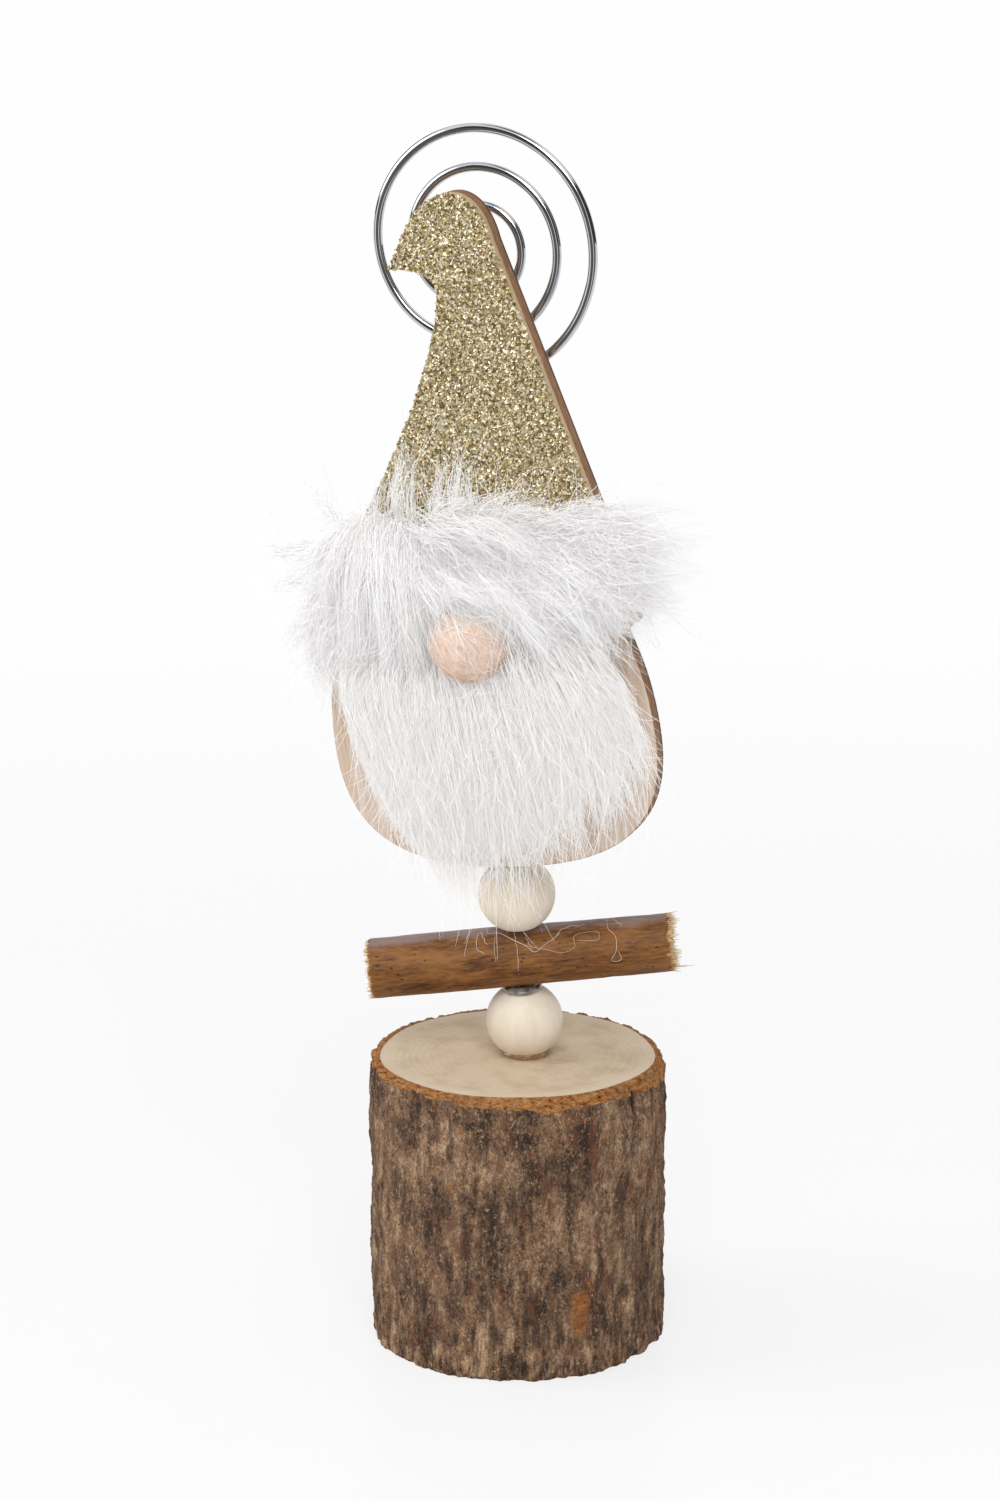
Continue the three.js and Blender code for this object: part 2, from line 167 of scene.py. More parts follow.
class Graph:
    """A node tree that is written from Python."""

    def __init__(self, tree: bpy.types.NodeTree) -> None:
        """Keep the tree."""
        self.tree = tree

    def feed(self, socket: bpy.types.NodeSocket, value: Term) -> None:
        """Link a signal to a socket, or set the socket's own value.

        Args:
            socket: The input.
            value: A signal, number, colour, vector, text or material.
        """
        if isinstance(value, Signal):
            self.tree.links.new(value.socket, socket)
        else:
            socket.default_value = value

    def node(
        self,
        kind: str,
        settings: Mapping[str, object] | None = None,
        sockets: Mapping[str | int, Term] | None = None,
        out: str | int = 0,
    ) -> Signal:
        """Add a node.

        Args:
            kind: Blender's type name.
            settings: Properties, set first. "stops" are a ramp's places and colours.
            sockets: Values or signals by the input's name or number.
            out: The output that is wanted.

        Returns:
            That output, or a signal without a socket where the node has none.
        """
        made = self.tree.nodes.new(kind)
        for name, value in (settings or {}).items():
            if name == "stops":
                self.set_stops(made.color_ramp, value)
            else:
                setattr(made, name, value)
        for key, value in (sockets or {}).items():
            self.feed(made.inputs[key], value)
        return Signal(self, made.outputs[out] if len(made.outputs) else None)

    @staticmethod
    def set_stops(ramp: bpy.types.ColorRamp, stops: Sequence[tuple[float, str]]) -> None:
        """Write a ramp's places and colours.

        Args:
            ramp: The ramp.
            stops: Places from 0 to 1 with display colours.
        """
        while len(ramp.elements) < len(stops):
            ramp.elements.new(1.0)
        for element, (place, code) in zip(ramp.elements, stops):
            element.position = place
            element.color = linear(code)

    def math(self, operation: str, *terms: Term) -> Signal:
        """Add a Math node on these terms."""
        return self.node("ShaderNodeMath", {"operation": operation}, dict(enumerate(terms)))

    def step(self, value: Term, low: float, high: float) -> Signal:
        """Rise smoothly from 0 to 1.

        Args:
            value: What is measured.
            low: Where the rise starts.
            high: Where it ends; below low, the step falls instead.

        Returns:
            The share, from 0 to 1.
        """
        flip = high < low
        ends = {1: min(low, high), 2: max(low, high), 3: float(flip), 4: float(not flip)}
        settings = {"interpolation_type": "SMOOTHSTEP"}
        return self.node("ShaderNodeMapRange", settings, {0: value, **ends})

    def axes(self, vector: Signal) -> tuple[Signal, Signal, Signal]:
        """Split a vector into its three parts."""
        split = self.node("ShaderNodeSeparateXYZ", None, {0: vector})
        return split, split.other(1), split.other(2)


class Recipe(Graph):
    """A material's node tree."""

    def __init__(self, name: str) -> None:
        """Start an empty material.

        Args:
            name: The material's name.
        """
        self.material = bpy.data.materials.new(name)
        self.material.use_nodes = True
        self.material.node_tree.nodes.clear()
        super().__init__(self.material.node_tree)

    def grain(self) -> Signal:
        """Give a place in the piece's own frame, in millimetres."""
        return self.node("ShaderNodeAttribute", {"attribute_name": GRAIN}, out="Vector")

    def shade(self) -> Signal:
        """Give the share that a mesh carries for its cut edges."""
        return self.node("ShaderNodeAttribute", {"attribute_name": SHADE}, out="Fac")

    def place(self) -> Signal:
        """Give a place in the CAD frame, in millimetres."""
        return self.scaled(self.node("ShaderNodeTexCoord", out="Object"), (1 / MM,) * 3)

    def strand_map(self) -> Signal:
        """Give the map whose columns are strands and whose height runs along them."""
        return self.node("ShaderNodeUVMap", {"uv_map": BAKE_MAP})

    def scaled(self, vector: Signal, factors: Triple) -> Signal:
        """Stretch a vector by a factor for each axis."""
        return self.node("ShaderNodeVectorMath", {"operation": "MULTIPLY"}, {0: vector, 1: factors})

    def shifted(self, vector: Signal, by: Triple | Signal) -> Signal:
        """Move a vector."""
        return self.node("ShaderNodeVectorMath", {"operation": "ADD"}, {0: vector, 1: by})

    def length(self, vector: Signal) -> Signal:
        """Measure a vector."""
        return self.node("ShaderNodeVectorMath", {"operation": "LENGTH"}, {0: vector}, "Value")

    def noise(
        self,
        at: Signal,
        scale: float,
        detail: float = 3.0,
        roughness: float = 0.55,
        squeeze: Triple | None = None,
    ) -> Signal:
        """Add smooth noise.

        Args:
            at: Where it is read.
            scale: Lumps for each unit of length.
            detail: Octaves.
            roughness: Share that each finer octave keeps.
            squeeze: A further factor for each axis.

        Returns:
            A share that is mostly between 0.3 and 0.7.
        """
        if squeeze is not None:
            at = self.scaled(at, squeeze)
        sockets = {"Vector": at, "Scale": scale, "Detail": detail, "Roughness": roughness}
        return self.node("ShaderNodeTexNoise", None, sockets, "Fac")

    def cells(self, at: Signal, scale: float) -> Signal:
        """Add the distance to scattered points."""
        return self.node("ShaderNodeTexVoronoi", None, {"Vector": at, "Scale": scale}, "Distance")

    def colours(self, value: Signal, stops: Sequence[tuple[float, str]]) -> Signal:
        """Turn a share into colours of a ramp."""
        return self.node("ShaderNodeValToRGB", {"stops": stops}, {0: value})

    def blend(self, share: Signal | float, low: Signal | str, high: Signal | str) -> Signal:
        """Mix two colours, each a signal or a display colour, by the share of the second."""
        low, high = (linear(c) if isinstance(c, str) else c for c in (low, high))
        return self.node("ShaderNodeMix", {"data_type": "RGBA"}, {0: share, 6: low, 7: high}, 2)

    def bump(self, height: Signal, distance: float, strength: float) -> Signal:
        """Add a bump of some millimetres."""
        sockets = {"Height": height, "Distance": distance * MM, "Strength": strength}
        return self.node("ShaderNodeBump", None, sockets)

    def surface(self, tone: Signal, rough: Signal, gloss: float = 0.5, **more: Term) -> None:
        """Add the Principled shader and wire it to the output.

        Args:
            tone: The colour.
            rough: The roughness.
            gloss: The specular level.
            more: Other inputs, by their names with _ for each space.
        """
        sockets = {"Base Color": tone, "Roughness": rough, "Specular IOR Level": gloss}
        sockets |= {name.replace("_", " "): value for name, value in more.items()}
        shader = self.node("ShaderNodeBsdfPrincipled", None, sockets)
        self.node("ShaderNodeOutputMaterial", None, {"Surface": shader})


class Sprout(Graph):
    """A Geometry Nodes tree that turns one mesh into another."""

    def __init__(self, name: str) -> None:
        """Start a tree with a mesh going in and a mesh coming out.

        Args:
            name: The tree's name.
        """
        super().__init__(bpy.data.node_groups.new(name, "GeometryNodeTree"))
        self.tree.interface.new_socket("Geometry", in_out="INPUT", socket_type="NodeSocketGeometry")
        self.tree.interface.new_socket("Geometry", in_out="OUTPUT", socket_type="NodeSocketGeometry")
        self.identifiers: dict[str, str] = {}
        self.entry = self.tree.nodes.new("NodeGroupInput")

    def geometry(self) -> Signal:
        """Give the mesh that goes in."""
        return Signal(self, self.entry.outputs[0])

    def value(self, name: str, kind: str) -> Signal:
        """Add a named input.

        Args:
            name: The input's name.
            kind: Float, Int or Material.

        Returns:
            Its value.
        """
        made = self.tree.interface.new_socket(name, in_out="INPUT", socket_type=f"NodeSocket{kind}")
        self.identifiers[name] = made.identifier
        return Signal(self, self.entry.outputs[name])

    def random(self, low: Term, high: Term, seed: Term, kind: str = "FLOAT") -> Signal:
        """Draw a number, or a vector, for each point.

        Args:
            low: The least value.
            high: The greatest.
            seed: The seed.
            kind: FLOAT or FLOAT_VECTOR.

        Returns:
            The draw.
        """
        first, out = (0, 0) if kind == "FLOAT_VECTOR" else (2, 1)
        sockets = {first: low, first + 1: high, "Seed": seed}
        return self.node("FunctionNodeRandomValue", {"data_type": kind}, sockets, out)

    def scattered(self, shape: Signal, turns: tuple[Triple, Triple], sizes: Pair) -> Signal:
        """Scatter turned copies of a shape over the mesh's faces.

        Args:
            shape: What is scattered.
            turns: The least and the greatest turn about each axis of the face.
            sizes: The least and the greatest share of the input named Size.

        Returns:
            The copies.
        """
        density, size = self.value("Density", "Float"), self.value("Size", "Float")
        seed = self.value("Seed", "Int")
        sockets = {"Mesh": self.geometry(), "Density": density, "Seed": seed}
        points = self.node("GeometryNodeDistributePointsOnFaces", None, sockets)
        euler = self.random(*turns, seed + 1, "FLOAT_VECTOR")
        turn = self.node("FunctionNodeEulerToRotation", None, {0: euler})
        sockets = {"Rotation": points.other("Rotation"), "Rotate By": turn}
        rotation = self.node("FunctionNodeRotateRotation", {"rotation_space": "LOCAL"}, sockets)
        scale = self.random(*sizes, seed + 2) * size
        sockets = {"Points": points, "Instance": shape, "Rotation": rotation, "Scale": scale}
        return self.node("GeometryNodeInstanceOnPoints", None, sockets)

    def close(self, geometry: Signal, finish: Signal) -> None:
        """End the tree in plain mesh with one material.

        Args:
            geometry: What has been made.
            finish: The material.
        """
        real = self.node("GeometryNodeRealizeInstances", None, {"Geometry": geometry})
        dressed = self.node("GeometryNodeSetMaterial", None, {"Geometry": real, "Material": finish})
        self.node("NodeGroupOutput", None, {0: dressed})

    def grow(self, thing: bpy.types.Object, values: Mapping[str, object]) -> bpy.types.Mesh:
        """Run the tree on an object and swap its mesh for the result.

        Args:
            thing: The object, which keeps no modifier.
            values: The named inputs.

        Returns:
            The new mesh.
        """
        modifier = thing.modifiers.new("grow", "NODES")
        modifier.node_group = self.tree
        for name, value in values.items():
            modifier[self.identifiers[name]] = value
        ready = thing.evaluated_get(bpy.context.evaluated_depsgraph_get())
        mesh = bpy.data.meshes.new_from_object(ready)
        thing.modifiers.remove(modifier)
        thing.data = mesh
        return mesh


class Lattice:
    """Smooth noise on points, from a fixed table, for shapes."""

    SIZE = 4096

    def __init__(self, seed: int) -> None:
        """Draw the table."""
        self.table = np.random.default_rng(seed).random(self.SIZE)

    def at(self, points: np.ndarray) -> np.ndarray:
        """Read the noise.

        Args:
            points: Places, with three numbers in the last axis; a unit is one lump.

        Returns:
            Values from -1 to 1.
        """
        cell = np.floor(points).astype(np.int64)
        part = points - cell
        ease = part * part * (3 - 2 * part)
        total = np.zeros(points.shape[:-1])
        for corner in product((0, 1), repeat=3):
            at = cell + np.array(corner)
            key = (at[..., 0] * 73856093) ^ (at[..., 1] * 19349663) ^ (at[..., 2] * 83492791)
            total += self.table[key % self.SIZE] * np.where(corner, ease, 1 - ease).prod(-1)
        return 2 * total - 1

    def rough(self, points: np.ndarray, octaves: int = 3) -> np.ndarray:
        """Read several octaves of the noise."""
        return sum(self.at(points * 2**i + 17.3 * i) / 2**i for i in range(octaves))


@dataclass
class Skin:
    """Patches of a mesh, in millimetres in the piece's own frame."""

    points: list[np.ndarray] = field(default_factory=list)
    shades: list[np.ndarray] = field(default_factory=list)
    faces: list[list[int]] = field(default_factory=list)
    maps: list[np.ndarray] = field(default_factory=list)
    count: int = 0

    def add(self, points: np.ndarray, shade: np.ndarray | float) -> int:
        """Add points.

        Args:
            points: The points.
            shade: The cut-edge share of each.

        Returns:
            The number of the first.
        """
        flat = points.reshape(-1, 3)
        self.points.append(flat)
        self.shades.append(np.broadcast_to(shade, points.shape[:-1]).reshape(-1).astype(float))
        first = self.count
        self.count += len(flat)
        return first

    def grid(
        self,
        points: np.ndarray,
        shade: np.ndarray | float = 0.0,
        loop: bool = False,
        patch: Patch = (0.0, 0.0, 1.0, 1.0),
    ) -> Skin:
        """Add a patch of four-sided faces.

        Args:
            points: Rows of points, each a closed ring that runs anticlockwise seen from where the rows go.
            shade: The cut-edge share of each point.
            loop: Whether the last row joins the first.
            patch: The part of the map that it takes: low u, low v, high u, high v.

        Returns:
            The skin itself.
        """
        rows, columns = points.shape[:2]
        first = self.add(points, shade)
        down = rows if loop else rows - 1
        i, j = np.meshgrid(np.arange(down), np.arange(columns), indexing="ij")
        k, m = (j + 1) % columns, (i + 1) % rows
        corners = [i * columns + j, i * columns + k, m * columns + k, m * columns + j]
        self.faces += (first + np.stack(corners, -1).reshape(-1, 4)).tolist()
        u = np.stack([j, j + 1, j + 1, j], -1) / columns
        v = np.stack([i, i, i + 1, i + 1], -1) / down
        low, high = np.array(patch[:2]), np.array(patch[2:])
        self.maps.append((low + (high - low) * np.stack([u, v], -1)).reshape(-1, 2))
        return self

    def cap(self, ring: np.ndarray, flat: np.ndarray, patch: Patch) -> None:
        """Close a ring of points with one face.

        Args:
            ring: The points' numbers, anticlockwise seen from outside.
            flat: Their places in the plane of the face.
            patch: The part of the map that it takes.
        """
        low, high = flat.min(0), flat.max(0)
        share = (flat - low) / np.maximum(high - low, 1e-9)
        start, end = np.array(patch[:2]), np.array(patch[2:])
        self.faces.append(ring.tolist())
        self.maps.append(start + (end - start) * share)

    @classmethod
    def closed(
        cls,
        points: np.ndarray,
        axes: tuple[int, int],
        patches: tuple[Patch, Patch, Patch],
        shade: np.ndarray | float = 0.0,
    ) -> Skin:
        """Make a skin of rings whose first and last are closed with one face each.

        Args:
            points: The rings, as rows.
            axes: The two axes that the closing faces lie along.
            patches: The parts of the map for the rings, the first face and the last.
            shade: The cut-edge share of each point.

        Returns:
            The skin.
        """
        skin = cls().grid(points, shade, patch=patches[0])
        ring = np.arange(points.shape[1])
        skin.cap(ring[::-1], points[0][::-1][:, axes], patches[1])
        skin.cap(skin.count - len(ring) + ring, points[-1][:, axes], patches[2])
        return skin

    def mesh(self, name: str, place: np.ndarray) -> bpy.types.Mesh:
        """Build the mesh with its map and attributes.

        Args:
            name: The mesh's name.
            place: The matrix from millimetres in the piece's frame to metres in the CAD frame.

        Returns:
            The mesh, smooth but for edges of more than 50 degrees.
        """
        local = np.concatenate(self.points)
        made = bpy.data.meshes.new(name)
        made.from_pydata(moved(place, local).tolist(), [], self.faces)
        layer = made.uv_layers.new(name=BAKE_MAP)
        layer.data.foreach_set("uv", np.concatenate(self.maps).astype(np.float32).ravel())
        grain = made.attributes.new(GRAIN, "FLOAT_VECTOR", "POINT")
        grain.data.foreach_set("vector", local.astype(np.float32).ravel())
        shade = made.attributes.new(SHADE, "FLOAT", "POINT")
        shade.data.foreach_set("value", np.concatenate(self.shades).astype(np.float32))
        made.polygons.foreach_set("use_smooth", np.ones(len(made.polygons), bool))
        made.set_sharp_from_angle(angle=SHARP)
        return made


@dataclass
class Strands:
    """Hairs, fibres or wire as runs of points in millimetres, all with as many points."""

    runs: np.ndarray
    thick: np.ndarray
    columns: np.ndarray

    @classmethod
    def tapered(cls, runs: np.ndarray, seed: int, root: float = 0.8, tip: float = 0.25) -> Strands:
        """Make strands that are thickest below their middle.

        Args:
            runs: The points of each strand.
            seed: For the columns of the map that the strands take.
            root: Share of the radius at the root.
            tip: Share of the radius at the tip.

        Returns:
            The strands.
        """
        along = np.linspace(0, 1, runs.shape[1])
        shape = np.interp(along, [0, 0.25, 0.6, 1], [root, 1, 0.85, tip])
        draw = np.random.default_rng(seed)
        size = draw.uniform(0.75, 1.2, len(runs))
        return cls(runs, size[:, None] * shape, draw.integers(0, COLUMNS, len(runs)))

    def part(self, start: int, stop: int) -> Strands:
        """Take some of the strands."""
        return Strands(self.runs[start:stop], self.thick[start:stop], self.columns[start:stop])


class StrandSweeper:
    """Sweeps runs of points into thin closed tubes with Geometry Nodes."""

    def __init__(self) -> None:
        """Build the tree."""
        tree = Sprout("sweep_strands")
        radius = tree.value("Radius", "Float")
        sides = tree.value("Sides", "Int")
        finish = tree.value("Finish", "Material")
        curve = tree.node("GeometryNodeMeshToCurve", None, {"Mesh": tree.geometry()})
        thick = tree.node("GeometryNodeInputNamedAttribute", {"data_type": "FLOAT"}, {"Name": "thick"})
        profile = tree.node("GeometryNodeCurvePrimitiveCircle", None, {"Resolution": sides, "Radius": 1.0})
        sockets = {"Curve": curve, "Profile Curve": profile, "Scale": thick * radius, "Fill Caps": True}
        tree.close(tree.node("GeometryNodeCurveToMesh", None, sockets), finish)
        self.tree = tree

    def sweep(
        self,
        name: str,
        strands: Strands,
        place: np.ndarray,
        radius: float,
        finish: bpy.types.Material,
        sides: int = 3,
    ) -> bpy.types.Object:
        """Make one piece of some strands.

        Args:
            name: The piece's name.
            strands: The strands, in millimetres.
            place: The matrix to the CAD frame.
            radius: Radius of a full-size strand, in millimetres.
            finish: The material.
            sides: Sides of the tube.

        Returns:
            The piece, whose map has the strands in columns.
        """
        count, steps = strands.runs.shape[:2]
        start = np.arange(count * steps).reshape(count, steps)
        edges = np.stack([start[:, :-1], start[:, 1:]], -1).reshape(-1, 2)
        mesh = bpy.data.meshes.new(name)
        mesh.from_pydata(moved(place, strands.runs.reshape(-1, 3)).tolist(), edges.tolist(), [])
        along = np.broadcast_to(np.linspace(0, 1, steps), (count, steps))
        column = np.broadcast_to(strands.columns[:, None], (count, steps))
        for key, values in (("thick", strands.thick), ("along", along), ("column", column)):
            layer = mesh.attributes.new(key, "FLOAT", "POINT")
            layer.data.foreach_set("value", values.astype(np.float32).ravel())
        thing = place_mesh(name, mesh)
        inputs = {"Radius": radius * MM, "Sides": sides, "Finish": finish}
        self.finish(self.tree.grow(thing, inputs), sides)
        return thing

    @staticmethod
    def finish(mesh: bpy.types.Mesh, sides: int) -> None:
        """Turn the working attributes into the strand map.

        Args:
            mesh: The swept tubes, ring after ring.
            sides: Points in a ring.
        """
        read = {}
        for key in ("along", "column"):
            read[key] = np.zeros(len(mesh.vertices), np.float32)
            mesh.attributes[key].data.foreach_get("value", read[key])
        lay_strand_map(mesh, read["column"], read["along"], sides)
        for key in ("along", "column", "thick"):
            if key in mesh.attributes:
                mesh.attributes.remove(mesh.attributes[key])
        mesh.polygons.foreach_set("use_smooth", np.ones(len(mesh.polygons), bool))


def lay_strand_map(mesh: bpy.types.Mesh, column: np.ndarray, along: np.ndarray, sides: int) -> None:
    """Give each strand a column of the map.

    Args:
        mesh: Thin tubes, ring after ring.
        column: The column of each point's strand.
        along: The share of its strand's length at each point.
        sides: Points in a ring.
    """
    side = np.arange(len(column)) % sides
    u = (column + 0.1 + 0.8 * side / (sides - 1)) / COLUMNS
    at = np.stack([u, 0.01 + 0.98 * along], -1)
    corner = np.zeros(len(mesh.loops), np.int32)
    mesh.loops.foreach_get("vertex_index", corner)
    for layer in list(mesh.uv_layers):
        mesh.uv_layers.remove(layer)
    layer = mesh.uv_layers.new(name=BAKE_MAP)
    layer.data.foreach_set("uv", at[corner].astype(np.float32).ravel())


def moved(place: np.ndarray, points: np.ndarray) -> np.ndarray:
    """Carry points through a four by four matrix."""
    return points @ place[:3, :3].T + place[:3, 3]


def turn_about(axis: int, degrees: float) -> np.ndarray:
    """Make the matrix of a turn about an axis.

    Args:
        axis: 0, 1 or 2 for X, Y or Z.
        degrees: The angle.

    Returns:
        The matrix.
    """
    c, s = math.cos(math.radians(degrees)), math.sin(math.radians(degrees))
    made = np.eye(4)
    a, b = (axis + 1) % 3, (axis + 2) % 3
    made[a, a], made[a, b], made[b, a], made[b, b] = c, -s, s, c
    return made


def shift_by(x: float, y: float, z: float) -> np.ndarray:
    """Make the matrix of a move.

    Args:
        x: The way along X.
        y: The way along Y.
        z: The way along Z.

    Returns:
        The matrix.
    """
    made = np.eye(4)
    made[:3, 3] = (x, y, z)
    return made


def place_mesh(name: str, mesh: bpy.types.Mesh) -> bpy.types.Object:
    """Put a mesh in the scene as an object at the origin.

    Args:
        name: The object's name.
        mesh: Its mesh.

    Returns:
        The object.
    """
    thing = bpy.data.objects.new(name, mesh)
    bpy.context.scene.collection.objects.link(thing)
    return thing


def all_round(count: int) -> np.ndarray:
    """Give evenly spaced angles of one turn."""
    return np.linspace(0, TURN, count, endpoint=False)


def turned(r: np.ndarray | float, angle: np.ndarray, z: np.ndarray | float = 0.0) -> np.ndarray:
    """Give points about Z from a radius, an angle and a height."""
    return np.stack(np.broadcast_arrays(r * np.cos(angle), r * np.sin(angle), z), -1)


def turned_about_x(r: np.ndarray | float, angle: np.ndarray, x: np.ndarray | float) -> np.ndarray:
    """Give points about X from a radius, an angle and a place along the axis."""
    return np.roll(turned(r, angle, x), 1, -1)


def smooth_run(keys: np.ndarray, at: np.ndarray) -> np.ndarray:
    """Read a smooth curve through key points.

    Args:
        keys: The key points, one a row.
        at: Shares of the curve's length between the keys.

    Returns:
        A point for each share.
    """
    spans = np.linalg.norm(np.diff(keys, axis=0), axis=1)
    knots = np.concatenate([[0.0], np.cumsum(spans)]) / spans.sum()
    slopes = np.gradient(keys, knots, axis=0)
    k = np.clip(np.searchsorted(knots, at, side="right") - 1, 0, len(spans) - 1)
    width = (knots[k + 1] - knots[k])[:, None]
    t = (at - knots[k])[:, None] / width
    a, b, c, d = keys[k], keys[k + 1], slopes[k] * width, slopes[k + 1] * width
    return a + c * t + (3 * (b - a) - 2 * c - d) * t**2 + (2 * (a - b) + c + d) * t**3


# Finishes.


@dataclass(frozen=True)
class Finish:
    """What every finish has: a name, and nodes that paint it."""

    name: str
    painted: ClassVar[dict[Finish, bpy.types.Material]] = {}

    def paint(self, recipe: Recipe) -> None:
        """Write the nodes into a recipe."""
        raise NotImplementedError

    def material(self) -> bpy.types.Material:
        """Give the material, painted the first time it is asked for.

        Returns:
            The material.
        """
        if self not in self.painted:
            recipe = Recipe(self.name)
            self.paint(recipe)
            self.painted[self] = recipe.material
        return self.painted[self]


@dataclass(frozen=True)
class SawnWood(Finish):
    """The log's sawn ends: faint rings round the pith, specks and a paler rim."""

    pale: str = "#d2bfa5"
    dark: str = "#b9a387"
    speck: str = "#83694c"
    rim: str = "#d3c3ac"
    pith: Pair = (2.5, -1.5)
    ring_gap: float = 1.35
    rim_radius: float = 23.2

    def paint(self, recipe: Recipe) -> None:
        """Paint rings from the distance to the pith, bent by noise.

        Args:
            recipe: The material's empty tree.
        """
        at = recipe.grain()
        disc = recipe.scaled(at, (1, 1, 0))
        bend = recipe.noise(disc, 0.1, 3)
        radius = recipe.length(recipe.shifted(disc, (-self.pith[0], -self.pith[1], 0)))
        wave = ((radius + bend * 4) * (TURN / self.ring_gap)).math("SINE") * 0.5 + 0.5
        stain = recipe.step(recipe.noise(disc, 0.16, 4), 0.42, 0.68)
        fine = recipe.noise(at, 3.2, 4, 0.7)
        outer = recipe.step(radius, 11.0, 20.0)
        tone = recipe.blend(wave * (0.08 + outer * 0.14) + stain * 0.55, self.pale, self.dark)
        edge = recipe.step(recipe.length(disc), self.rim_radius - 2.5, self.rim_radius + 1.2)
        tone = recipe.blend(edge * 0.7, tone, self.rim)
        specks = recipe.step(recipe.noise(disc, 1.6, 3), 0.64, 0.72) + recipe.step(fine, 0.58, 0.76) * 0.4
        tone = recipe.blend(specks * 0.45, tone, self.speck)
        saw = recipe.noise(at, 1.0, 2, squeeze=(0.25, 3.0, 1))
        rough = 0.72 + fine * 0.2
        normal = recipe.bump(fine * 0.6 + saw * 0.4, 0.12, 0.7)
        recipe.surface(tone, rough, 0.25, Normal=normal)


@dataclass(frozen=True)
class Bark(Finish):
    """Weathered bark, with bare orange inner bark where it has chipped away."""

    deep: str = "#382d26"
    brown: str = "#6b5342"
    worn: str = "#917359"
    lichen: str = "#c4a685"
    russet: str = "#734634"
    inner: str = "#b0743c"
    inner_deep: str = "#502c16"
    inner_pale: str = "#c79c72"
    bare: str = "#8c4a22"
    # Painted shade: the dark inside the crack below the rim.
    crack: str = "#2b1a10"
    bare_spot: Triple = (19.8, -18.2, 12.5)

    def paint(self, recipe: Recipe) -> None:
        """Paint upright streaks of brown, russet and grey, painted shade in the crack, and the bare inner
        bark by its share.

        Args:
            recipe: The material's empty tree.
        """
        at = recipe.grain()
        upright = recipe.scaled(at, (1, 1, 0.38))
        broad = recipe.noise(at, 0.15, 5, 0.65, squeeze=(1, 1, 0.55))
        middle = recipe.noise(at, 0.6, 5, 0.7, squeeze=(1, 1, 0.5))
        fine = recipe.noise(at, 2.4, 5, 0.8, squeeze=(1, 1, 0.75))
        mixed = broad * 0.44 + middle * 0.36 + fine * 0.46
        stops = [(0.54, self.deep), (0.612, self.brown), (0.675, self.worn), (0.76, self.lichen)]
        tone = recipe.colours(mixed, stops)
        furrow = recipe.step(recipe.noise(at, 0.5, 4, 0.6, squeeze=(1, 1, 0.16)), 0.46, 0.37)
        tone = recipe.blend(furrow * 0.6, tone, self.deep)
        red = recipe.step(recipe.noise(upright, 0.34, 4, 0.7), 0.53, 0.66)
        tone = recipe.blend(red * 0.6, tone, self.russet)
        patch = recipe.step(recipe.noise(upright, 0.2, 4, 0.65), 0.42, 0.56)
        flecks = recipe.step(recipe.noise(at, 1.4, 5, 0.8, squeeze=(1, 1, 0.7)), 0.57, 0.61)
        tone = recipe.blend(flecks * patch * 0.8, tone, self.lichen)
        holes = recipe.step(recipe.noise(at, 1.2, 4, 0.75, squeeze=(1, 1, 0.6)), 0.43, 0.38)
        tone = recipe.blend(holes * 0.6, tone, self.deep)
        warm = recipe.step(recipe.noise(at, 1.0, 4, 0.75, squeeze=(1, 1, 0.6)), 0.6, 0.64)
        tone = recipe.blend(warm * 0.55, tone, self.inner)
        crumbs = recipe.noise(at, 1.0, 5, 0.8, squeeze=(0.8, 0.8, 1.8))
        stops = [(0.36, self.inner_deep), (0.5, self.inner), (0.66, self.inner_pale)]
        raw = recipe.colours(crumbs, stops)
        dull = recipe.step(recipe.noise(at, 0.28, 4, 0.7), 0.46, 0.62)
        raw = recipe.blend(dull * 0.35, raw, self.worn)
        pits = recipe.step(recipe.noise(at, 1.1, 3, 0.7, squeeze=(0.8, 0.8, 2.2)), 0.42, 0.34)
        raw = recipe.blend(pits * 0.8, raw, self.inner_deep)
        spot = recipe.shifted(at, tuple(-x for x in self.bare_spot))
        reach = recipe.length(recipe.scaled(spot, (1, 1, 0.42))) + middle * 2.6
        bare = recipe.step(reach, 3.6, 2.7)
        raw = recipe.blend(bare * 0.4, raw, self.bare)
        # Painted shade in the crack: where the shade share is below zero, the bark is darkened to the crack
        # colour.
        tone = recipe.blend(recipe.step(recipe.shade(), -0.25, -0.7) * 0.85, tone, self.crack)
        share = recipe.step(recipe.shade() + (crumbs - 0.5) * 0.5, 0.4, 0.6).math("MAXIMUM", bare * 0.9)
        tone = recipe.blend(share, tone, raw)
        height = middle * 0.5 + fine * 0.5 + crumbs * share * 0.6
        normal = recipe.bump(height, 0.6, 1.0)
        recipe.surface(tone, 0.8 + fine * 0.2, 0.2, Normal=normal)


@dataclass(frozen=True)
class Chrome(Finish):
    """Bright chrome with fine drawing marks."""

    bright: str = "#d9dbde"
    dull: str = "#bfc3c8"

    def paint(self, recipe: Recipe) -> None:
        """Paint a mirror with slightly varying polish.

        Args:
            recipe: The material's empty tree.
        """
        at = recipe.place()
        haze = recipe.noise(at, 0.35, 3)
        marks = recipe.noise(at, 4.0, 2)
        tone = recipe.blend(haze, self.bright, self.dull)
        rough = 0.05 + haze * 0.04 + recipe.step(marks, 0.6, 0.75) * 0.02
        recipe.surface(tone, rough, Metallic=1.0)


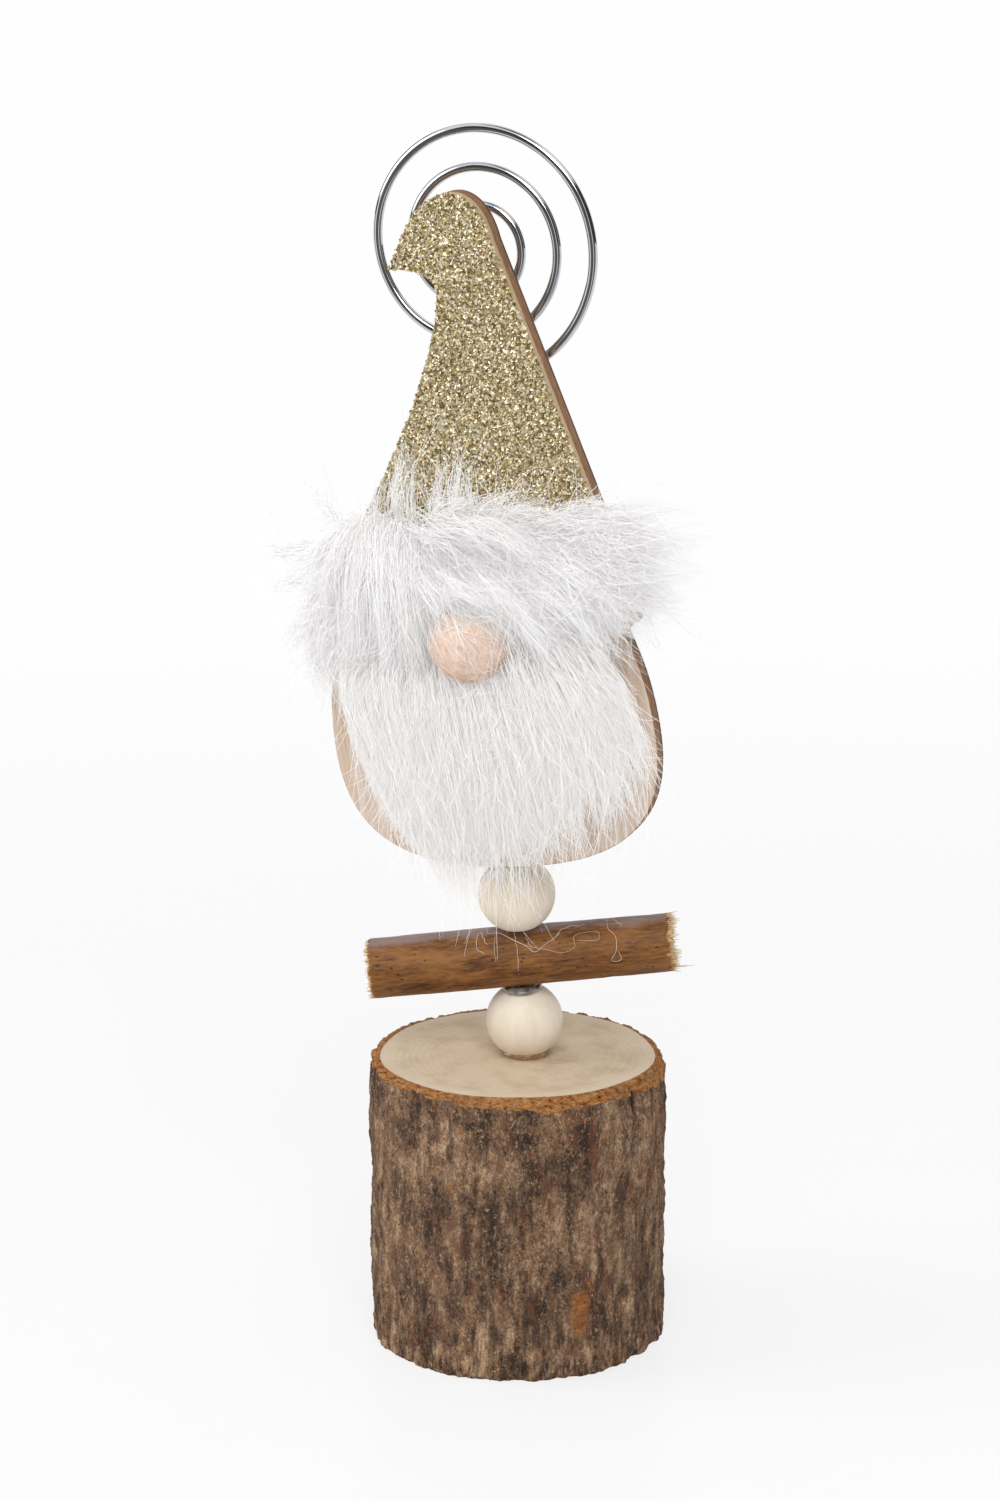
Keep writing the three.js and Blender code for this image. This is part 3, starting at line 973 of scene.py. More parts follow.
@dataclass(frozen=True)
class BeadWood(Finish):
    """Pale turned wood with faint lengthwise figure."""

    cream: str = "#eadfce"
    straw: str = "#dfcdb2"
    mark: str = "#c9ad86"

    def paint(self, recipe: Recipe) -> None:
        """Paint soft figure along the bore and a few marks.

        Args:
            recipe: The material's empty tree.
        """
        at = recipe.grain()
        figure = recipe.noise(at, 0.55, 4, 0.6, squeeze=(1, 1, 0.18))
        fine = recipe.noise(at, 3.0, 3, squeeze=(1, 1, 0.12))
        tone = recipe.blend(recipe.step(figure, 0.38, 0.68) * 0.45, self.cream, self.straw)
        marks = recipe.step(recipe.noise(at, 0.9, 3), 0.66, 0.76) * 0.45
        tone = recipe.blend(marks + recipe.step(fine, 0.6, 0.75) * 0.12, tone, self.mark)
        normal = recipe.bump(fine, 0.05, 0.5)
        rough = 0.42 + figure * 0.2
        recipe.surface(tone, rough, 0.35, Normal=normal)


@dataclass(frozen=True)
class TwigBark(Finish):
    """Smooth brown twig bark with lengthwise streaks, dark pores and a painted grey sheen along the top."""

    gold: str = "#8e5f2e"
    brown: str = "#724820"
    dark: str = "#4b2c14"
    red: str = "#6a3a24"
    pore: str = "#2b1b12"
    painted_top_sheen: str = "#8b7f80"

    def paint(self, recipe: Recipe) -> None:
        """Paint streaks along the twig, which lies along X.

        Args:
            recipe: The material's empty tree.
        """
        at = recipe.grain()
        broad = recipe.noise(at, 0.8, 4, 0.6, squeeze=(0.11, 0.4, 0.4))
        fine = recipe.noise(at, 1.8, 4, 0.75, squeeze=(0.2, 1.2, 1.2))
        stops = [(0.4, self.dark), (0.49, self.brown), (0.6, self.gold)]
        tone = recipe.colours(broad * 0.5 + fine * 0.54, stops)
        streak = recipe.step(recipe.noise(at, 0.8, 3, squeeze=(0.06, 0.9, 0.9)), 0.56, 0.68)
        tone = recipe.blend(streak * 0.4, tone, self.red)
        dots = recipe.step(recipe.cells(recipe.scaled(at, (0.6, 1, 1)), 1.0), 0.26, 0.14)
        here = recipe.step(recipe.noise(at, 0.35, 3), 0.46, 0.6)
        tone = recipe.blend(dots * here * 0.85, tone, self.pore)
        # Painted sheen: grey along the twig's upper side, which is also a little less rough.
        _, _, up = recipe.axes(at)
        top = recipe.step(up + (broad - 0.5) * 3, 4.4, 5.6)
        tone = recipe.blend(top * 0.65, tone, self.painted_top_sheen)
        end = recipe.shade()
        tone = recipe.blend(end * 0.6, tone, self.gold)
        normal = recipe.bump(fine * 0.7 + broad * 0.3, 0.18, 0.6)
        rough = 0.42 + fine * 0.25 - top * 0.1
        recipe.surface(tone, rough, 0.3, Normal=normal)


@dataclass(frozen=True)
class TwigWood(Finish):
    """Torn pale wood at the twig's ends."""

    pale: str = "#e3c79c"
    deep: str = "#b98a52"

    def paint(self, recipe: Recipe) -> None:
        """Paint lengthwise fibres with darker pits.

        Args:
            recipe: The material's empty tree.
        """
        at = recipe.grain()
        fibres = recipe.noise(at, 1.5, 4, 0.65, squeeze=(0.2, 1.6, 1.6))
        pits = recipe.noise(at, 2.2, 3)
        tone = recipe.blend(recipe.step(fibres * 0.6 + pits * 0.4, 0.38, 0.62), self.deep, self.pale)
        normal = recipe.bump(fibres + pits, 0.2, 0.8)
        recipe.surface(tone, 0.75 + pits * 0.2, Normal=normal)


@dataclass(frozen=True)
class Fibre(Finish):
    """A fine strand whose tone changes from strand to strand and along it."""

    root: str = "#b98a52"
    tip: str = "#e8d2ac"
    odd: str = "#a0733f"
    rough: float = 0.7

    def paint(self, recipe: Recipe) -> None:
        """Paint from the strand map.

        Args:
            recipe: The material's empty tree.
        """
        at = recipe.strand_map()
        _, along, _ = recipe.axes(at)
        tone = recipe.blend(recipe.step(along, 0.0, 0.8), self.root, self.tip)
        each = recipe.noise(at, 1.0, 2, squeeze=(COLUMNS * 0.9, 1.2, 1))
        tone = recipe.blend(recipe.step(each, 0.5, 0.8) * 0.6, tone, self.odd)
        rough = self.rough + each * 0.2
        recipe.surface(tone, rough, 0.3)


@dataclass(frozen=True)
class Plywood(Finish):
    """Pale plywood face with upright grain and laser-browned edges."""

    pale: str = "#e2d2c3"
    mid: str = "#d6c0ad"
    line: str = "#c5a98f"
    burnt: str = "#86603f"
    char: str = "#3d2820"
    back: float = -1.1

    def paint(self, recipe: Recipe) -> None:
        """Paint upright grain, with burnt plies by the edge share.

        Args:
            recipe: The material's empty tree.
        """
        at = recipe.grain()
        _, deep, _ = recipe.axes(at)
        sway = recipe.noise(at, 1.0, 2, squeeze=(0.1, 0.1, 0.05))
        aside = recipe.node("ShaderNodeCombineXYZ", None, {0: (sway - 0.5) * 5})
        bent = recipe.shifted(at, aside)
        broad = recipe.noise(bent, 1.0, 4, 0.6, squeeze=(0.5, 0.5, 0.022))
        fine = recipe.noise(bent, 1.0, 4, 0.7, squeeze=(3.2, 1, 0.1))
        stops = [(0.38, self.line), (0.5, self.mid), (0.62, self.pale)]
        tone = recipe.colours(broad * 0.7 + fine * 0.32, stops)
        pores = recipe.step(recipe.noise(bent, 1.0, 2, squeeze=(4.5, 1, 0.3)), 0.64, 0.72)
        tone = recipe.blend(pores * 0.35, tone, self.line)
        scorch = recipe.noise(at, 1.0, 3, squeeze=(0.5, 2.5, 0.5))
        edge = recipe.blend(recipe.step(scorch, 0.45, 0.8) * 0.5, self.burnt, self.line)
        rear = recipe.step(deep + (scorch - 0.5) * 0.8, self.back - 1.0, self.back - 0.5)
        edge = recipe.blend(rear * 0.85, edge, self.char)
        tone = recipe.blend(recipe.step(recipe.shade(), 0.25, 0.8), tone, edge)
        normal = recipe.bump(fine, 0.06, 0.6)
        recipe.surface(tone, 0.6 + fine * 0.2, 0.3, Normal=normal)


@dataclass(frozen=True)
class GlitterFoam(Finish):
    """The foam sheet under the glitter: gold grit on its face, tan on its edge."""

    gold: str = "#bda878"
    olive: str = "#75653c"
    tan: str = "#c3a284"

    def paint(self, recipe: Recipe) -> None:
        """Paint gold grit, and bare foam by the edge share.

        Args:
            recipe: The material's empty tree.
        """
        at = recipe.grain()
        grit = recipe.cells(at, 2.6)
        fine = recipe.noise(at, 3.5, 3, 0.7)
        tone = recipe.blend(recipe.step(grit + fine * 0.3, 0.25, 0.75), self.gold, self.olive)
        foam = recipe.blend(fine, self.tan, self.gold)
        edge = recipe.step(recipe.shade(), 0.4, 0.9)
        tone = recipe.blend(edge, tone, foam)
        normal = recipe.bump(grit, 0.2, 0.8)
        metal = 0.5 - edge * 0.5
        recipe.surface(tone, 0.35 + fine * 0.3, Metallic=metal, Normal=normal)


@dataclass(frozen=True)
class Flake(Finish):
    """Glitter flakes, each of its own gold."""

    tones: tuple[tuple[float, str], ...] = (
        (0.3, "#857042"), (0.42, "#c4af7c"), (0.54, "#e4d5a8"), (0.68, "#fdf6e2"), (0.76, "#ab884c"),
    )  # fmt: skip

    def paint(self, recipe: Recipe) -> None:
        """Paint a metal whose colour is drawn for each cell of the map.

        Args:
            recipe: The material's empty tree.
        """
        cell = recipe.scaled(recipe.strand_map(), (COLUMNS, COLUMNS, 1))
        corner = recipe.node("ShaderNodeVectorMath", {"operation": "FLOOR"}, {0: cell})
        each = recipe.node("ShaderNodeTexWhiteNoise", {"noise_dimensions": "2D"}, {"Vector": corner})
        tone = recipe.colours(each * 0.5 + 0.27, self.tones)
        red, _, _ = recipe.axes(each.other("Color"))
        rough = 0.2 + red * 0.25
        recipe.surface(tone, rough, Metallic=0.6)


@dataclass(frozen=True)
class Knit(Finish):
    """The knitted ground that the pile stands in."""

    yarn: str = "#eeebe4"
    gap: str = "#c9c4ba"

    def paint(self, recipe: Recipe) -> None:
        """Paint rows of small loops.

        Args:
            recipe: The material's empty tree.
        """
        at = recipe.place()
        x, _, z = recipe.axes(at)
        rows = (z * (TURN / 0.9)).math("SINE")
        loops = (x * (TURN / 0.7) + rows * 0.8).math("SINE")
        height = rows * 0.25 + loops * 0.25 + 0.5
        fuzz = recipe.noise(at, 3.0, 3)
        tone = recipe.blend(height * 0.7 + fuzz * 0.3, self.gap, self.yarn)
        normal = recipe.bump(height, 0.2, 0.8)
        recipe.surface(tone, 0.85 + fuzz * 0.1, Normal=normal)


@dataclass(frozen=True)
class Pile(Finish):
    """White acrylic hair: clean along its length, a little grey at the root.

    The light that wanders through many clear hairs is given as a weak light of their own.
    """

    root: str = "#f3f1f0"
    body: str = "#fefdfd"
    odd: str = "#f8f5f2"
    inner_light: float = 0.086

    def paint(self, recipe: Recipe) -> None:
        """Paint from the strand map.

        Args:
            recipe: The material's empty tree.
        """
        at = recipe.strand_map()
        _, along, _ = recipe.axes(at)
        tone = recipe.blend(recipe.step(along, 0.0, 0.35), self.root, self.body)
        each = recipe.noise(at, 1.0, 2, squeeze=(COLUMNS * 0.9, 0.8, 1))
        tone = recipe.blend(recipe.step(each, 0.5, 0.75) * 0.6, tone, self.odd)
        rough = 0.45 + each * 0.2
        recipe.surface(tone, rough, 0.3, Emission_Color=tone, Emission_Strength=self.inner_light)


@dataclass(frozen=True)
class Felt(Finish):
    """Needled peach felt."""

    peach: str = "#f6e0ce"
    rose: str = "#efceb8"
    light: str = "#fbebdf"

    def paint(self, recipe: Recipe) -> None:
        """Paint matted fibres from several turns of stretched noise.

        Args:
            recipe: The material's empty tree.
        """
        at = recipe.grain()
        mats = [(0.35, 2.4, 1.1), (2.4, 0.5, 0.9), (1.2, 1.0, 0.3)]
        fibres = sum(recipe.noise(at, 1.3, 3, 0.7, squeeze=m) for m in mats) * (1 / 3)
        lumps = recipe.noise(at, 0.4, 3)
        tone = recipe.blend(recipe.step(fibres, 0.4, 0.58), self.rose, self.peach)
        tone = recipe.blend(recipe.step(lumps, 0.45, 0.7) * 0.35, tone, self.light)
        normal = recipe.bump(fibres, 0.4, 0.8)
        recipe.surface(tone, 0.85 + lumps * 0.1, 0.15, Normal=normal, Sheen_Weight=0.25)


@dataclass(frozen=True)
class Glue(Finish):
    """Set glue, glossy and a little cloudy."""

    thin: str = "#a9a39a"
    thick: str = "#6f6259"
    clear: float = 0.35

    def paint(self, recipe: Recipe) -> None:
        """Paint a cloudy gloss.

        Args:
            recipe: The material's empty tree.
        """
        at = recipe.place()
        cloud = recipe.noise(at, 0.7, 3)
        tone = recipe.blend(recipe.step(cloud, 0.35, 0.65), self.thin, self.thick)
        normal = recipe.bump(cloud, 0.3, 0.5)
        clear = {"Transmission_Weight": self.clear, "IOR": 1.48, "Coat_Weight": 0.5}
        recipe.surface(tone, 0.1 + cloud * 0.12, Normal=normal, **clear)


# The frames of the pieces, and the bench that fits them to the CAD bodies.


@dataclass
class Frames:
    """Matrices from millimetres in each sub-assembly's own frame to metres in the CAD frame."""

    log: np.ndarray
    stem: np.ndarray
    twig: np.ndarray
    gnome: np.ndarray

    TWIG_Z = 19.05
    TWIG_YAW = 21.0
    TWIG_TILT = 2.5
    GNOME_AT = (0.89, 0.0, 37.4)
    GNOME_ROLL = 5.0

    @classmethod
    def of(cls, joint: Mapping[str, object]) -> Frames:
        """Find the frames from the bead's joint, whose axis is the stem.

        Args:
            joint: The record's joint.

        Returns:
            The frames.
        """
        axis = np.array(joint["axis"], float)
        axis /= np.linalg.norm(axis)
        back = np.cross(axis, (1.0, 0.0, 0.0))
        back /= np.linalg.norm(back)
        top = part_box("log_wood")[1].z
        at = np.array(joint["pos_m"], float)
        foot = at + axis * (top - at[2]) / axis[2]
        stem = np.eye(4)
        stem[:3, :3] = np.stack([np.cross(back, axis), back, axis], 1) * MM
        stem[:3, 3] = foot
        twig = stem @ shift_by(0, 0, cls.TWIG_Z) @ turn_about(2, cls.TWIG_YAW) @ turn_about(1, -cls.TWIG_TILT)
        gnome = stem @ shift_by(*cls.GNOME_AT) @ turn_about(1, -cls.GNOME_ROLL)
        return cls(np.diag([MM, MM, MM, 1.0]), stem, twig, gnome)


class Bench:
    """Fits finished pieces to the CAD bodies and reports them."""

    def __init__(self, nodes: Mapping[str, bpy.types.Object]) -> None:
        """Keep the CAD nodes and make the sweeper that all strands share."""
        self.nodes = nodes
        self.sweeper = StrandSweeper()

    def fit(
        self,
        thing: bpy.types.Object,
        finish: Finish | None = None,
        replaces: Sequence[str] = (),
        body: Body = Body.HOLDER,
    ) -> None:
        """Dress a piece and let it ride on its body.

        Args:
            thing: The piece.
            finish: The finish, unless the mesh has it already.
            replaces: CAD nodes that it stands for.
            body: The body that it rides on.
        """
        if finish is not None:
            self.dress(thing, finish)
        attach(thing, body.value)
        if replaces:
            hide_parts(*replaces)
        LOG.info("piece %s: %d faces on %s", thing.name, len(thing.data.polygons), body.value)

    def fit_skin(
        self,
        name: str,
        skin: Skin,
        place: np.ndarray,
        finish: Finish,
        node: str,
        body: Body = Body.HOLDER,
    ) -> bpy.types.Object:
        """Make a piece of a skin and fit it in the place of a CAD node.

        Args:
            name: The piece's name.
            skin: Its skin, in millimetres.
            place: The matrix to the CAD frame.
            finish: The finish.
            node: The CAD node that it stands for.
            body: The body that it rides on.

        Returns:
            The piece.
        """
        thing = place_mesh(name, skin.mesh(name, place))
        self.fit(thing, finish, [node], body)
        return thing

    @staticmethod
    def dress(thing: bpy.types.Object, finish: Finish) -> None:
        """Give a piece its one material."""
        thing.data.materials.clear()
        thing.data.materials.append(finish.material())

    def keep(self, node: str, finish: Finish) -> None:
        """Keep a CAD node and give it a finish.

        Args:
            node: The node's name.
            finish: The finish.
        """
        thing = self.nodes[node]
        self.dress(thing, finish)
        LOG.info("node %s keeps its solid", node)


# Log.


@dataclass
class LogFoot:
    """The log: sawn wood with its bark on."""

    height: float = 53.5
    top_radius: float = 27.1
    foot_radius: float = 27.0
    bark: float = 2.3
    lobes: tuple[Triple, ...] = ((2, 0.3, 0.6), (3, 0.2, 1.9), (7, 0.15, 0.4))
    columns: int = 420
    rows: int = 130
    rim_rows: int = 9
    disc_rows: int = 22
    disc_shares: Pair = (0.06, 1.0)
    # Drop of the chipped rim, in millimetres, by the angle round the log in degrees.
    chips: tuple[Pair, ...] = (
        (-180, 0.7), (-158, 0.9), (-140, 0.9), (-110, 0.9), (-88, 1.3), (-73, 1.7), (-60, 1.9), (-52, 2.9),
        (-40, 1.8), (-28, 1.5), (-18, 2.3), (-13, 3.0), (-3, 2.9), (7, 3.4), (17, 2.8), (30, 1.5), (60, 0.8),
        (95, 0.9), (130, 0.6), (160, 0.8), (180, 0.7),
    )  # fmt: skip
    crack_angle: float = -16.0
    crack_depth: float = 5.5
    crack_half_width: float = 1.3
    # Shares of bare inner bark at the foot's inner edge and along the rim's lip.
    edge_shade: float = 0.5
    lip_shade: float = 0.45

    def radius(self, angle: np.ndarray, z: np.ndarray) -> np.ndarray:
        """Give the bark's outer radius, as the CAD solid has it."""
        base = self.foot_radius + (self.top_radius - self.foot_radius) * z / self.height
        return base + sum(h * np.sin(n * angle + phase) for n, h, phase in self.lobes)

    def build(self, bench: Bench, frames: Frames) -> None:
        """Make the wood and the bark.

        Args:
            bench: Fits the pieces.
            frames: The frames of the pieces.
        """
        wood, bark = SawnWood("sawn_wood"), Bark("ridged_bark")
        bench.fit_skin("log_sawn_wood", self.wood(), frames.log, wood, "log_wood")
        bench.fit_skin("log_bark_skin", self.skin(), frames.log, bark, "log_bark")
        bench.keep("stem_glue", Glue("sunk_glue", "#b07a45", "#7d4d24", 0.1))

    def disc(self, z: float) -> np.ndarray:
        """Give rings of points that fill a section of the wood.

        Args:
            z: The section's height.

        Returns:
            The rings, as rows.
        """
        angle = all_round(self.columns)
        rim = self.radius(angle, np.full_like(angle, z)) - self.bark
        return turned(np.linspace(*self.disc_shares, self.disc_rows)[:, None] * rim, angle, z)

    def wood(self) -> Skin:
        """Make the wood as one closed skin: foot, side and sawn top.

        Returns:
            The skin.
        """
        noise = Lattice(11)
        foot, top = self.disc(0.0), self.disc(self.height)
        saw_marks = 0.05 * noise.rough(top * (0.12, 1.1, 0.3)) + 0.04 * noise.at(top * 1.3 + 5)
        top[..., 2] += saw_marks - 0.09
        patches = ((0, 0, 0.9, 1), (0.92, 0, 1, 0.4), (0.92, 0.55, 1, 1))
        return Skin.closed(np.concatenate([foot, top[::-1]]), (0, 1), patches)

    def drop(self, angle: np.ndarray) -> np.ndarray:
        """Give how far the chipped rim drops below the top, with ragged noise.

        Args:
            angle: Angles round the log.

        Returns:
            The drop at each.
        """
        degrees = np.degrees((angle + math.pi) % TURN - math.pi)
        base = np.interp(degrees, *np.array(self.chips).T)
        ring = turned(1, angle)
        noise = Lattice(12)
        ragged = 0.5 * noise.at(ring * 9) + 0.4 * noise.at(ring * 24) + 0.2 * noise.at(ring * 60)
        return np.maximum(base + ragged, 0.35)

    def crack(self, around: np.ndarray, below: np.ndarray) -> np.ndarray:
        """Give how far the crack below the rim is open, by the angle and the way down from the rim."""
        away = np.degrees(np.abs((around - math.radians(self.crack_angle) + math.pi) % TURN - math.pi))
        return np.exp(-((away / self.crack_half_width) ** 2)) * np.clip(1.2 - below / self.crack_depth, 0, 1)

    def side(self, angle: np.ndarray, drop: np.ndarray) -> tuple[np.ndarray, np.ndarray]:
        """Shape the ridged side.

        Args:
            angle: The angles of the columns.
            drop: How far the rim drops at each.

        Returns:
            The radius with the height of each point, and the crack's share.
        """
        noise = Lattice(13)
        z = np.linspace(0, 1, self.rows)[:, None] * (self.height - drop)
        around = np.broadcast_to(angle, z.shape)
        r = self.radius(around, z)
        spot = turned(r, around, z)
        ridge = noise.rough(spot * (0.3, 0.3, 0.07) + 3, 3)
        lumps = noise.rough(spot * (0.75, 0.75, 0.4) + 40, 3)
        grit = noise.at(spot * (2.4, 2.4, 1.6) + 90)
        crack = self.crack(around, self.height - drop - z)
        foot = np.clip(1 - z / 1.2, 0, 1) ** 2 * (0.35 + 0.3 * noise.at(spot * (1.2, 1.2, 0.5) + 7))
        r = r - 0.45 + 0.42 * ridge + 0.28 * lumps + 0.13 * grit - 1.3 * crack - foot
        return np.stack([r, z]), crack

    def rim(self, angle: np.ndarray, drop: np.ndarray, outer: np.ndarray, inner: np.ndarray) -> np.ndarray:
        """Shape the crumbly rim.

        Args:
            angle: The angles of the columns.
            drop: How far the rim drops at each.
            outer: The radius where it starts.
            inner: The radius of the wood, where it ends.

        Returns:
            The rows of points.
        """
        step = np.linspace(0, 1, self.rim_rows + 1)[1:, None]
        arch = np.sin(step * math.pi)
        z = self.height - drop * (1 - step**0.8) + arch * 0.25
        made = turned(outer + (inner - outer) * step, angle, z)
        crumbs = Lattice(13).rough(made * 1.3 + 60, 3)
        made[..., 2] += (0.4 * crumbs - 0.15) * arch - 0.08
        made[-1, :, 2] = self.height - 0.1
        return made

    def skin(self) -> Skin:
        """Make the bark: ragged foot, ridged side, chipped rim and inner edge.

        Returns:
            The skin.
        """
        angle = all_round(self.columns)
        drop = self.drop(angle)
        (r, z), crack = self.side(angle, drop)
        inner = self.radius(angle, np.full_like(angle, self.height)) - self.bark
        rows = [turned(inner, angle)[None], turned(r, angle, z), self.rim(angle, drop, r[-1], inner)]
        edge = np.full((1, self.columns), self.edge_shade)
        # The crack's share is stored below zero, where the bark's finish paints shade in the crack.
        shade = np.concatenate([edge, -crack, np.ones((self.rim_rows, self.columns))])
        shade[self.rows] = self.lip_shade
        return Skin().grid(np.concatenate(rows), shade, loop=True)


# Wire.


@dataclass
class ClipWire:
    """The chromed wire: a stem bent into a flat spiral."""

    radius: float = 0.8
    sunk: float = 25.0
    centre: Pair = (-0.2, 147.8)
    outer: float = 21.3
    pitch: float = 6.5
    start: float = -80.0
    end: float = 900.0
    stem_steps: int = 60
    bend_steps: int = 24
    spiral_steps: int = 620
    sides: int = 20

    def path(self) -> np.ndarray:
        """Give the centre line in the stem's XZ plane.

        Returns:
            The points.
        """
        degrees = np.linspace(self.start, self.end, self.spiral_steps)
        r = self.outer - self.pitch * degrees / 360
        turn = np.radians(degrees)
        spiral = np.stack([self.centre[0] + r * np.cos(turn), self.centre[1] + r * np.sin(turn)], -1)
        sweep = -math.radians(self.start)
        bend = spiral[0, 0] / (1 - math.cos(sweep))
        low = spiral[0, 1] - bend * math.sin(sweep)
        part = np.linspace(0, sweep, self.bend_steps, endpoint=False)
        curve = np.stack([bend * (1 - np.cos(part)), low + bend * np.sin(part)], -1)
        rise = np.linspace(-self.sunk, low, self.stem_steps, endpoint=False)
        stem = np.stack([np.zeros_like(rise), rise], -1)
        flat = np.concatenate([stem, curve, spiral])
        return np.stack([flat[:, 0], np.zeros(len(flat)), flat[:, 1]], -1)

    def build(self, bench: Bench, frames: Frames) -> None:
        """Sweep the wire along its path.

        Args:
            bench: Fits the pieces.
            frames: The frames of the pieces.
        """
        run = self.path()[None]
        strands = Strands(run, np.ones(run.shape[:2]), np.zeros(1, int))
        finish = Chrome("polished_chrome").material()
        wire = bench.sweeper.sweep("clip_wire_tube", strands, frames.stem, self.radius, finish, self.sides)
        wire.data.set_sharp_from_angle(angle=SHARP)
        bench.fit(wire, None, ["photo_clip_wire"])


# Beads, twig and their glue.


@dataclass
class Beads:
    """Two turned beads threaded on the stem, and the glue under the lower one."""

    radius: float = 7.0
    height: float = 12.4
    bore: float = 1.4
    lower_z: float = 6.6
    upper_z: float = 30.95
    sides: int = 72
    glue_inner: float = 3.0
    glue_profile: tuple[Pair, ...] = (
        (3.0, 0.05), (4.1, 0.05), (4.25, 0.3), (4.5, 0.7), (4.85, 1.15), (4.7, 1.45), (3.6, 1.1),
    )  # fmt: skip

    def build(self, bench: Bench, frames: Frames) -> None:
        """Make both beads and the lower one's glue.

        Args:
            bench: Fits the pieces.
            frames: The frames of the pieces.
        """
        wood, glue = BeadWood("turned_wood"), Glue("brown_glue", "#b99a78", "#93704c", 0.15)
        for node, z, body, seed in (
            ("lower_bead", self.lower_z, Body.HOLDER, 21),
            ("upper_bead", self.upper_z, Body.UPPER_BEAD, 22),
        ):
            place = frames.stem @ shift_by(0, 0, z) @ turn_about(2, 70 * seed)
            bench.fit_skin(f"{node}_turned", self.bead(seed), place, wood, node, body)
        node = "lower_bead_glue"
        bench.fit_skin(f"{node}_ring", self.glue(), frames.stem, glue, node)

    def bead(self, seed: int) -> Skin:
        """Turn one bead, with softened ends and a bore.

        Args:
            seed: For its small unevenness.

        Returns:
            The skin.
        """
        half = self.height / 2
        end = math.asin(half / self.radius) * 0.97
        lat = np.linspace(-end, end, 40)
        ball = self.radius * np.stack([np.cos(lat), np.sin(lat)], -1)
        upper = np.array([(2.9, half - 0.02), (2.2, half), (1.7, half - 0.05), (self.bore, half - 0.35)])
        lower = upper[::-1] * (1, -1)
        profile = np.concatenate([lower, ball, upper, [[self.bore, 0.0]]])
        points = turned(profile[:, :1], all_round(self.sides), profile[:, 1:])
        wobble = 1 + 0.004 * Lattice(seed).at(points * 0.25)
        return Skin().grid(points * wobble[..., None], loop=True)

    def glue(self) -> Skin:
        """Make the uneven ring of glue that the lower bead stands in.

        Returns:
            The skin.
        """
        angle = all_round(GLUE_SIDES)
        profile = np.array(self.glue_profile)
        ring = turned(1, angle)
        noise = Lattice(23)
        swell = 1 + 0.04 * noise.at(ring * 2.1) + 0.02 * noise.at(ring * 5)
        r = self.glue_inner + (profile[:, :1] - self.glue_inner) * swell**2
        z = profile[:, 1:] * (1 + 0.12 * noise.at(ring * 3 + 4))
        return Skin().grid(turned(r, angle, z), loop=True)


